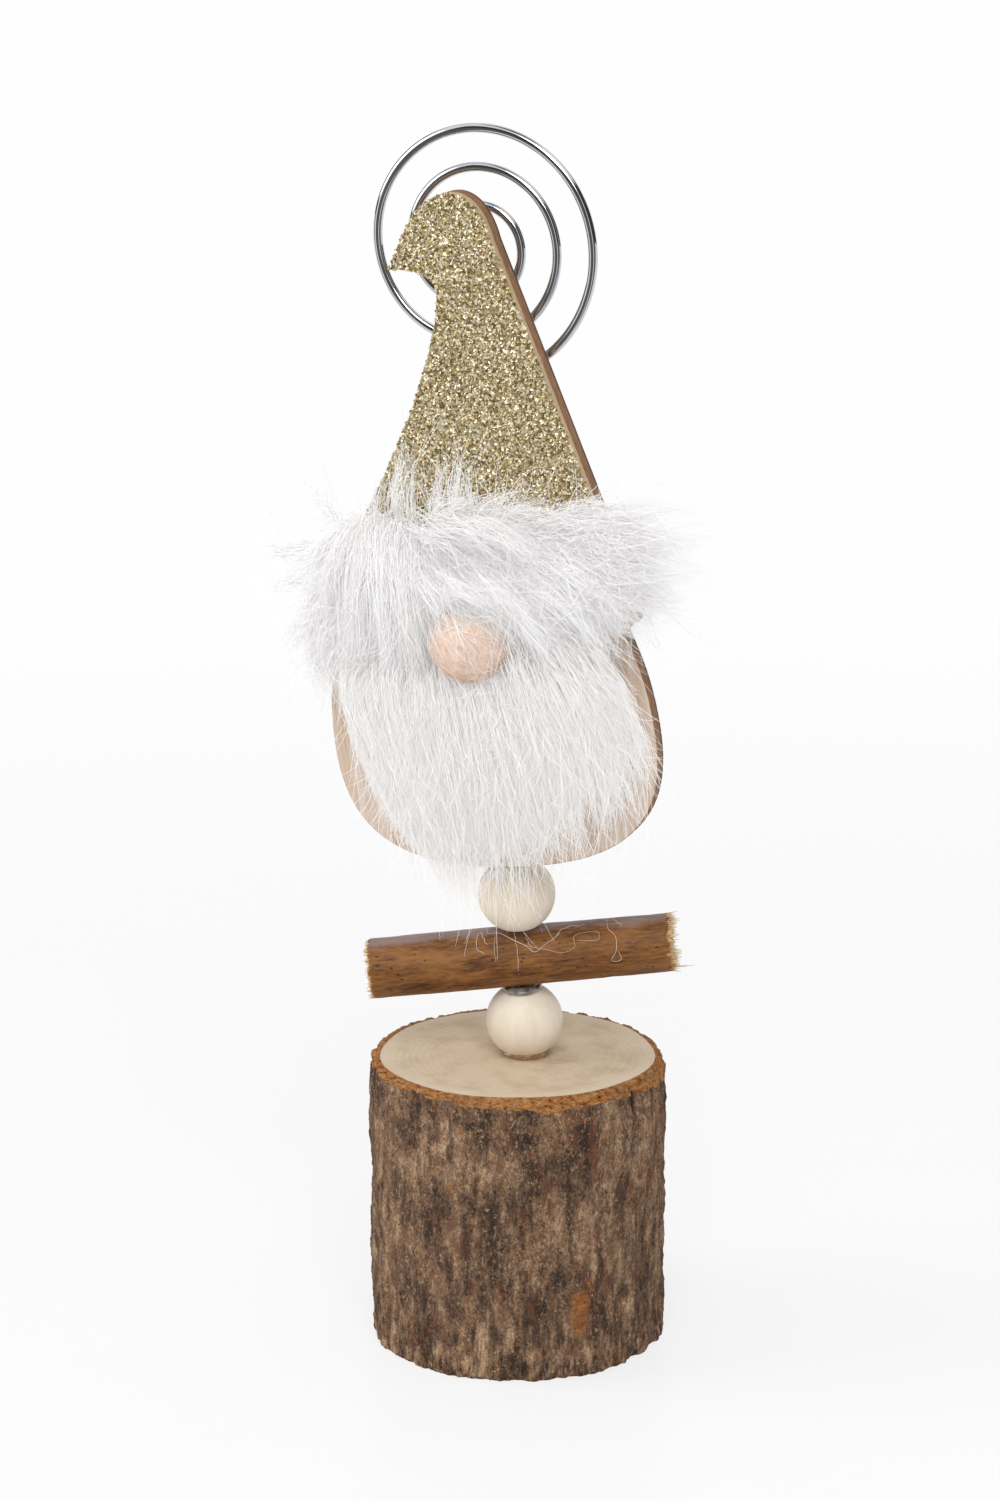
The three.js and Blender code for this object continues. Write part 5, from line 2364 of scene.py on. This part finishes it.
BRIM_LOCKS = (
    Lock((-20.5, 60.5), ((-26, 61.8, 10), (-32, 61.2, 9.5), (-41, 61.2, 7)), 100, 2.0, Role.TUFT),
    Lock((-17.5, 61.8), ((-20, 66.5, 10), (-23.5, 69.6, 9), (-28, 74.6, 7)), 44, 1.1, Role.TUFT),
    Lock((-23, 53), ((-27, 50.5, 10.5), (-32, 47.2, 10), (-38.4, 42.6, 8)), 60, 2.0, Role.TUFT),
    Lock((-22.5, 57), ((-28, 56.2, 10), (-33, 55, 9), (-40.6, 53.2, 7)), 70, 2.4, Role.TUFT),
    Lock((-18, 61.5), ((-20.5, 65, 10), (-23, 67.2, 9.5), (-26, 70.7, 8)), 40, 1.8, Role.TUFT),
    Lock((-13, 61.8), ((-12.8, 65.6, 13), (-14.6, 57.7, 17), (-18.5, 46, 15), (-21.5, 34, 11)), 120, 2.4),
    Lock((-10, 61.8), ((-9.8, 65, 13.5), (-9.6, 56.1, 18), (-12, 46, 15.5), (-14.2, 33, 11.5)), 120, 2.4),
    Lock((-7.4, 61), ((-7, 62.8, 14), (-5.6, 53.8, 18), (-7, 45, 15.5), (-8.4, 33, 12)), 110, 2.2),
    Lock((-15.5, 61.5), ((-15, 66.5, 12), (-18.8, 61.2, 15), (-23, 54, 14), (-25.6, 47.6, 11)), 120, 1.8),
    Lock((-17, 61), ((-17, 65.5, 11), (-21.5, 63, 13), (-25.5, 59, 12), (-28.5, 54, 10)), 100, 1.8),
    Lock((-13, 62), ((-12.8, 67, 11), (-12.2, 69.8, 10.5), (-11.9, 73.6, 8.5)), 46, 1.5, Role.TUFT),
    Lock((-9.3, 62), ((-8.6, 68, 10.5), (-7.4, 73.2, 9.5), (-6.3, 79, 8)), 46, 1.4, Role.TUFT),
    Lock((-6.2, 62), ((-6, 67.5, 10.5), (-5.7, 72, 9.5), (-5.8, 77, 8)), 34, 1.4, Role.TUFT),
    Lock((-2, 62), ((-1.6, 67, 10.5), (-1, 71.2, 9.5), (-0.4, 75.5, 8)), 34, 1.4, Role.TUFT),
    Lock((2, 62), ((2.5, 68, 10.5), (3.2, 73, 9.5), (3.5, 78.5, 8)), 44, 1.3, Role.TUFT),
    Lock((4.4, 62), ((4.5, 67, 10.5), (4.9, 70.8, 9.5), (4.9, 74.6, 8)), 30, 1.3, Role.TUFT),
    Lock((7, 62), ((7.6, 66.4, 11.5), (10.9, 68.3, 11), (13.6, 68.5, 9)), 60, 1.8),
    Lock((11.5, 62), ((12.5, 65.8, 12), (16.8, 66.9, 11.5), (19.2, 65.6, 9.5)), 60, 1.8),
    Lock((-0.9, 62), ((0.6, 67, 13), (6.3, 69, 13), (9, 66.8, 12)), 60, 1.6),
    Lock((-5.6, 61.5), ((-4.4, 64.9, 14), (3.2, 63.4, 18), (8.3, 59.2, 17.5)), 50, 2.6),
    Lock((-1, 61.5), ((0.6, 65, 14), (9.4, 64, 18), (14.8, 58.8, 17)), 50, 2.6),
    Lock((5.7, 61.5), ((7, 64.3, 14), (15.8, 62.7, 18), (21.1, 56.4, 17)), 50, 2.6),
    Lock((-6.7, 57.5), ((-4.8, 57.8, 14.5), (-0.5, 54.6, 19), (2.5, 50, 20)), 70, 2.4),
    Lock((-2.4, 56), ((0, 56.4, 15), (6.2, 54.6, 19.5), (12, 50.4, 19.5)), 70, 2.4),
    Lock((3.2, 55.5), ((6.2, 55.8, 15), (12.8, 53, 18), (18, 46, 17)), 70, 2.4),
    Lock((7.6, 55), ((10.5, 54.2, 14.5), (15.7, 50.7, 16.5), (18.1, 41.5, 16)), 90, 2.8),
    Lock((13.4, 55.5), ((16.5, 54.6, 14.5), (22.8, 50.4, 16), (27.8, 41.0, 14.5)), 90, 2.8),
    Lock((18.3, 57.5), ((21.5, 57.8, 14), (27, 53.6, 16.5), (30.3, 48.4, 12.5)), 90, 2.0),
    Lock((18.9, 62), ((21.5, 64.4, 12), (26.8, 65.5, 12), (31.2, 65.2, 9.5)), 80, 1.6),
    Lock((22.5, 61.8), ((26.2, 63.8, 12.5), (31, 64.0, 13), (36, 61.8, 8.5)), 110, 2.0),
    Lock((24, 59), ((28.2, 60.2, 13), (32.8, 59.2, 14), (37.4, 55.6, 9)), 110, 2.2),
    Lock((23.8, 55.4), ((28, 55.6, 13), (32.4, 54.2, 14), (36.6, 51.2, 9.5)), 110, 2.2),
    Lock((22.5, 52.3), ((26.5, 52.2, 13), (30.6, 50.6, 14), (34, 48, 10.5)), 100, 1.8),
    Lock((23, 62), ((29, 64.4, 12), (36.5, 65, 12), (44, 63.8, 8)), 90, 2.8, Role.TUFT),
    Lock((24.5, 59.5), ((31, 61, 12.5), (38.5, 60, 12.5), (46, 57.6, 8)), 110, 3.0, Role.TUFT),
    Lock((24.5, 56), ((30.5, 56.4, 12.5), (37.5, 54.8, 12.5), (45, 52.4, 8.5)), 100, 3.0, Role.TUFT),
    Lock((24.5, 53), ((29.5, 52.8, 12), (35, 51, 11.5), (41, 48.6, 8.5)), 60, 2.4, Role.TUFT),
    Lock((-23, 54), ((-26, 51, 10.5), (-28.4, 44.5, 9.5), (-29, 37.5, 7.5)), 100, 2.2),
    Lock((-21, 51.5), ((-23, 50, 11.5), (-25.2, 45, 12), (-26.6, 37.5, 9.5)), 130, 2.2),
    Lock((-16, 51), ((-17.5, 49.5, 12.5), (-20, 43, 12.5), (-22.5, 35.5, 10)), 130, 2.4),
    Lock((-10, 51), ((-10.8, 49.5, 13), (-12.8, 43, 13), (-14.5, 36.5, 11)), 120, 2.2),
    Lock((14, 51), ((15.5, 49.5, 12.5), (17.5, 44.5, 12.5), (19, 39, 10.5)), 110, 2.2),
    Lock((20, 51), ((21.8, 49.8, 12), (24, 45.6, 11.5), (25.6, 41, 9)), 110, 2.0),
    Lock((26, 52), ((28.6, 51.6, 11), (31.4, 50, 10), (34.2, 47.4, 7.5)), 90, 1.8),
    Lock((-20, 50.5), ((-22, 48, 10.5), (-24.5, 41, 10.5), (-26, 33.5, 8.5)), 130, 2.2),
    Lock((22, 50.8), ((24, 49.4, 10.5), (26.4, 46.2, 9.5), (28, 42.4, 8)), 110, 1.8),
    Lock((27, 52), ((30, 51.4, 9.5), (33.2, 49.8, 8.5), (36.4, 47, 7)), 80, 1.8),
)


@dataclass
class BrimFur(Fur):
    """The hat's brim: combed locks over a strip of backing, with tufts at both ends."""

    node: str = "brim_fur"
    parts: int = 5
    count: int = 8500
    loose: int = 4600
    wisps: int = 700
    strip: tuple[Pair, ...] = ((-26.5, 50.3), (28.5, 50.3), (25.8, 62.2), (-18.8, 62.2))

    def runs(self) -> np.ndarray:
        """Give the fill, led by the flowing locks, and the locks' own strands.

        Returns:
            The runs of points.
        """
        groom = Groom(73)
        leaders = [lock for lock in BRIM_LOCKS if lock.role is Role.FLOW]
        fill = groom.fill(roots_within(self.strip, self.count, groom.draw), leaders, 3.4)
        fill = groom.wave(fill, 0.8, 13.0, 4.0)
        fill = groom.gather(fill, 600, 0.24)
        fill = groom.gather(fill, 2600, 0.3, 1.0)
        tufts = np.concatenate([groom.tuft(lock) for lock in BRIM_LOCKS])
        tufts = groom.wave(tufts, 0.5, 15.0, 5.0)
        tufts = groom.gather(tufts, 900, 0.3, 1.0)
        runs = groom.frizz(np.concatenate([fill, tufts]), 1.3, 0.16)
        short = groom.fluff(runs, self.loose, (5.0, 11.0), 0.95)
        # Only one in three of those that lie up on the hat stays.
        short = short[(short[:, -1, 2] < 65.5) | (np.arange(len(short)) % 3 == 0)]
        wisps = groom.fluff(runs, self.wisps, (9.0, 15.0), 0.45)
        return np.concatenate([runs, short, wisps])


@dataclass
class BeardFur(Fur):
    """The beard: straight hair that hangs from its backing and thins towards its ends."""

    node: str = "beard_fur"
    parts: int = 4
    count: int = 12500
    sides: Pair = (-35.0, 43.5)
    # Painted light: a warmer white and a stronger inner light than the brim's hair, for the warm light that
    # the wood throws on the beard.
    finish: Pile = Pile("bounce_lit_beard_hair", "#f4f1ef", "#fefdfc", "#f8f3ef", 0.094)
    wisps: int = 1000
    crossing: int = 800
    fan: float = 1.2
    root_y: float = -5.9
    length: float = 34.0
    shortest: float = 6.0
    halvings: int = 24
    backing: tuple[Pair, ...] = (
        (-22, 40.5), (-21, 29), (-18, 21), (-14, 15.5), (-8, 11), (0, 8.5), (8, 10.5), (14, 15), (18, 21),
        (22, 30), (25, 40.5),
    )  # fmt: skip
    # Lines that the hair follows: X of each one at these heights.
    heights: tuple[float, ...] = (-12, 2, 20, 34, 44)
    lines: tuple[tuple[float, ...], ...] = (
        (-8.5, -13.5, -22.0, -26.0, -27.0),
        (-7.0, -10.6, -16.6, -20.0, -21.0),
        (-6.0, -8.2, -10.8, -12.0, -12.5),
        (-4.2, -4.0, -3.2, -3.0, -3.0),
        (6.0, 7.0, 7.4, 6.8, 6.5),
        (15.0, 17.5, 18.6, 16.8, 15.5),
        (30.5, 31.0, 30.5, 28.0, 25.0),
        (38.5, 38.0, 36.5, 34.0, 30.5),
    )
    # By height: the pile's thickness, and how far it stands off the board.
    depths: tuple[Triple, ...] = (
        (-12, 1.5, 4.6), (-7, 2, 3.8), (0, 4, 2.4), (8, 6, 1), (20, 8, 0.2), (33, 10, 0), (38, 11, 0),
        (45, 11.5, 0),
    )  # fmt: skip
    # The height that the strands hang down to, by X.
    ends: tuple[Pair, ...] = (
        (-27, 14), (-20, 9), (-14, 5.5), (-8, 4), (-3, 3.5), (3, 2.5), (8, 3), (15, 4), (22, 7), (30, 12),
        (37, 20),
    )  # fmt: skip

    def runs(self) -> np.ndarray:
        """Hang strands along the lines, in layers that fill the beard's depth.

        Returns:
            The runs of points.
        """
        groom = Groom(74)
        draw = groom.draw
        roots = roots_within(self.backing, self.count, draw)
        roots = roots[self.kept(roots, draw)]
        index = self.fanned(roots, draw)
        length = self.lengths(roots, index, draw)
        top = roots[:, 1:]
        t = Groom.STEPS[None]
        arch = 1.2 + 12.0 * np.clip((top - 32) / 8, 0, 1) * draw.uniform(0.3, 1.0, top.shape)
        z = top + arch * np.sin(t * math.pi) * (1 - t) - length[:, None] * t
        x = self.x_at(np.broadcast_to(index[:, None], z.shape), z)
        x = x + (roots[:, :1] - x[:, :1]) * (1 - t) ** 4
        layer = 0.2 + 0.7 * (top - 9) / 31 + draw.uniform(-0.22, 0.22, top.shape)
        runs = np.stack([x, self.y_at(x, z, np.clip(layer, 0.1, 1.0)), z], -1)
        runs = groom.wave(runs, 0.5, 26.0, 4.0)
        runs = groom.gather(runs, 340, 0.36, 1.3)
        runs = groom.gather(runs, 2600, 0.34, 1.0)
        runs = groom.frizz(runs, 0.7, 0.2)
        thin = runs[(runs[:, -1, 0] > 5) & (runs[:, -1, 2] < 28)]
        wisps = groom.fluff(runs, self.wisps, (7.0, 14.0), 0.24)
        return np.concatenate([runs, wisps, groom.fluff(thin, self.crossing, (4.0, 9.0), 0.6)])

    @staticmethod
    def kept(roots: np.ndarray, draw: np.random.Generator) -> np.ndarray:
        """Thin the roots at the lower right, where the wood shows through."""
        thin = np.clip((roots[:, 0] + 2) / 12, 0, 1) * np.clip((31 - roots[:, 1]) / 11, 0, 1)
        return draw.random(len(roots)) > 0.9 * thin

    def fanned(self, roots: np.ndarray, draw: np.random.Generator) -> np.ndarray:
        """Find the line of each root by halving the search, and spread the lines like a fan.

        Args:
            roots: X and Z of each root.
            draw: The source of the draws.

        Returns:
            The lines' numbers, each with a share of the way to the next.
        """
        last = len(self.lines) - 1.0
        low, high = np.zeros(len(roots)), np.full(len(roots), last)
        for _ in range(self.halvings):
            middle = (low + high) / 2
            under = self.x_at(middle, roots[:, 1]) < roots[:, 0]
            low, high = np.where(under, middle, low), np.where(under, high, middle)
        index = last / 2 + ((low + high) / 2 - last / 2) * self.fan + draw.normal(0, 0.12, len(roots))
        return np.clip(index, 0, last)

    def lengths(self, roots: np.ndarray, index: np.ndarray, draw: np.random.Generator) -> np.ndarray:
        """Draw the strands' lengths, with ragged ends and a few long strands.

        Args:
            roots: X and Z of each root.
            index: The line that each strand follows.
            draw: The source of the draws.

        Returns:
            The lengths.
        """
        count = len(roots)
        length = self.length * draw.uniform(0.55, 1.08, count)
        low = np.interp(self.x_at(index, roots[:, 1] - length), *np.array(self.ends).T)
        low = low + draw.gamma(1.3, 1.0, count) * (4.2 + 8.0 * np.clip(index - 3.5, 0, 1))
        low = low - (draw.random(count) < 0.14) * draw.uniform(3.0, 15.0, count)
        return np.maximum(np.minimum(length, roots[:, 1] - low), self.shortest)

    def x_at(self, index: np.ndarray, z: np.ndarray) -> np.ndarray:
        """Read X on a line, or between two, at a height.

        Args:
            index: The line's number, with a share of the way to the next.
            z: The height.

        Returns:
            X.
        """
        heights, lines = np.array(self.heights), np.array(self.lines)
        z = np.clip(z, heights[0], heights[-1])
        k = np.clip(np.searchsorted(heights, z, side="right") - 1, 0, len(heights) - 2)
        t = (z - heights[k]) / (heights[k + 1] - heights[k])
        i = np.clip(index.astype(int), 0, len(lines) - 2)
        s = index - i
        below = lines[i, k] * (1 - s) + lines[i + 1, k] * s
        above = lines[i, k + 1] * (1 - s) + lines[i + 1, k + 1] * s
        return below * (1 - t) + above * t

    def y_at(self, x: np.ndarray, z: np.ndarray, layer: np.ndarray) -> np.ndarray:
        """Lay strands at their depth in the pile.

        Args:
            x: X of the strands' points.
            z: Their height.
            layer: Each strand's share of the pile's thickness.

        Returns:
            Y of the points.
        """
        height, thick, off = np.array(self.depths).T
        rise = np.clip(Groom.STEPS / 0.22, 0, 1) ** 0.7
        edge = np.sqrt(np.clip(1 - (np.abs(x - 2.5) / 34) ** 3, 0.15, 1))
        return self.root_y - rise * (np.interp(z, height, off) + layer * edge * np.interp(z, height, thick))


# Stage.


@dataclass
class Studio:
    """Plain pale floor, soft light and the camera at the photograph's viewing angle."""

    azimuth: float = 22.0
    distance: float = 0.555
    height: float = 0.2473
    pitch: float = 13.85
    yaw: float = -0.332
    lens: float = 76.56
    dome: float = 0.62
    floor_size: float = 60.0

    def build(self) -> None:
        """Set up the view, the camera, the floor, the world and the lamps."""
        bpy.context.scene.view_settings.view_transform = "Standard"
        self.camera()
        self.floor()
        self.world()
        self.lamp("key_softbox", (0.35, -0.75, 0.85), 0.6, 6.0)
        self.lamp("left_softbox", (-0.85, -0.35, 0.55), 0.6, 4.0)

    def camera(self) -> None:
        """Place the camera."""
        a = math.radians(self.azimuth)
        ahead, right = Vector((-math.sin(a), math.cos(a), 0)), Vector((math.cos(a), math.sin(a), 0))
        yaw, pitch = math.radians(self.yaw), math.radians(self.pitch)
        aim = (ahead * math.cos(yaw) + right * math.sin(yaw)) * math.cos(pitch)
        aim.z = -math.sin(pitch)
        data = bpy.data.cameras.new("photo_camera")
        data.lens, data.sensor_width = self.lens, 36.0
        data.clip_start, data.clip_end = 0.01, 200.0
        thing = bpy.data.objects.new("photo_camera", data)
        thing.location = -ahead * self.distance + Vector((0, 0, self.height))
        thing.rotation_euler = aim.to_track_quat("-Z", "Y").to_euler()
        bpy.context.scene.collection.objects.link(thing)
        bpy.context.scene.camera = thing

    def floor(self) -> None:
        """Lay the floor: pale, with the object's shadow near it and plain white far off."""
        half = self.floor_size / 2
        mesh = bpy.data.meshes.new("floor")
        corners = [(-half, -half, 0), (half, -half, 0), (half, half, 0), (-half, half, 0)]
        mesh.from_pydata(corners, [], [[0, 1, 2, 3]])
        recipe = Recipe("pale_floor")
        at = recipe.place()
        far = recipe.step(recipe.length(at), 120.0, 700.0)
        seen = self.seen(recipe)
        grain = recipe.noise(at, 0.02, 2)
        tone = recipe.blend(grain, "#f4f4f5", "#f0f0f2")
        sockets = {"Base Color": tone, "Roughness": 0.3, "Specular IOR Level": 0.25}
        paint = recipe.node("ShaderNodeBsdfPrincipled", None, sockets)
        glow = recipe.node("ShaderNodeEmission", None, {"Color": linear("#fefefe"), "Strength": 1.0})
        share = seen * (0.7 + far * 0.3)
        mixed = recipe.node("ShaderNodeMixShader", None, {0: share, 1: paint, 2: glow})
        across, deep, _ = recipe.axes(at)
        glossy = recipe.node("ShaderNodeLightPath", None, None, "Is Glossy Ray")
        gloom = recipe.node("ShaderNodeEmission", None, {"Color": linear("#8a8a8c"), "Strength": 0.14})
        front = glossy * recipe.step(deep, 0.0, -160.0) * 0.9 * (1 - self.strip(recipe, across, deep))
        mixed = recipe.node("ShaderNodeMixShader", None, {0: front, 1: mixed, 2: gloom})
        recipe.node("ShaderNodeOutputMaterial", None, {"Surface": mixed})
        mesh.materials.append(recipe.material)
        place_mesh("floor", mesh)

    @staticmethod
    def strip(graph: Graph, x: Signal, y: Signal) -> Signal:
        """Give the share of two tall soft lamps at the front, which only reflections show.

        Args:
            graph: Where the nodes go.
            x: X of a place or direction.
            y: Its Y.

        Returns:
            The share.
        """
        side = x / (y.math("ABSOLUTE") + 1e-4)
        left = graph.step(side, -0.68, -0.76) * graph.step(side, -2.3, -2.1)
        right = graph.step(side, 0.58, 0.64) * graph.step(side, 1.0, 0.94)
        return left.math("MAXIMUM", right) * graph.step(y, 0.0, -1e-3)

    @staticmethod
    def seen(graph: Graph) -> Signal:
        """Give 1 for rays that show the background: camera, glossy and transmission rays.

        Args:
            graph: Where the nodes go.

        Returns:
            The share.
        """
        path = graph.node("ShaderNodeLightPath", None, None, "Is Camera Ray")
        shown = path.math("MAXIMUM", path.other("Is Glossy Ray"))
        return shown.math("MAXIMUM", path.other("Is Transmission Ray"))

    def world(self) -> None:
        """Make the dome: white to the camera, soft light, and a darker room in front for reflections."""
        world = bpy.data.worlds.new("studio")
        world.use_nodes = True
        world.node_tree.nodes.clear()
        graph = Graph(world.node_tree)
        bpy.context.scene.world = world
        aim = graph.node("ShaderNodeTexCoord", out="Generated")
        x, y, z = graph.axes(aim)
        room = graph.step(y, 0.85, 0.7)
        above = graph.step(z, 0.58, 0.66) * graph.step(z, 0.97, 0.92)
        lamp = above.math("MAXIMUM", self.strip(graph, x, y))
        mirror = (1 - room * 0.95).math("MAXIMUM", lamp)
        path = graph.node("ShaderNodeLightPath", None, None, "Is Camera Ray")
        glossy = path.other("Is Glossy Ray")
        level = self.dome * (1 - glossy) + mirror * glossy
        level = level * (1 - path) + path
        back = graph.node("ShaderNodeBackground", None, {"Color": (1.0, 1.0, 1.0, 1.0), "Strength": level})
        graph.node("ShaderNodeOutputWorld", None, {"Surface": back})

    @staticmethod
    def lamp(name: str, at: Triple, size: float, power: float) -> None:
        """Hang a square soft lamp that faces the gnome.

        Args:
            name: The lamp's name.
            at: Where it hangs, in metres.
            size: Its side.
            power: Its power in watts.
        """
        data = bpy.data.lights.new(name, "AREA")
        data.size, data.energy = size, power
        thing = bpy.data.objects.new(name, data)
        thing.location = at
        thing.rotation_euler = (Vector((0, 0, 0.12)) - Vector(at)).to_track_quat("-Z", "Y").to_euler()
        bpy.context.scene.collection.objects.link(thing)


def main() -> None:
    """Load the frame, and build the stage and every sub-assembly."""
    logging.basicConfig(level=logging.INFO, format="%(name)s: %(message)s")
    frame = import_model()
    Studio().build()
    frames = Frames.of(frame["joints"][0])
    bench = Bench(frame["nodes"])
    for kind in (LogFoot, ClipWire, Beads, Twig, Board, GlueDabs, Nose, BrimFur, BeardFur):
        LOG.info("building %s", kind.__name__)
        kind().build(bench, frames)
    for node in ("brim_backing", "beard_backing"):
        bench.keep(node, Knit("knit_ground"))


if __name__ == "__main__":
    main()
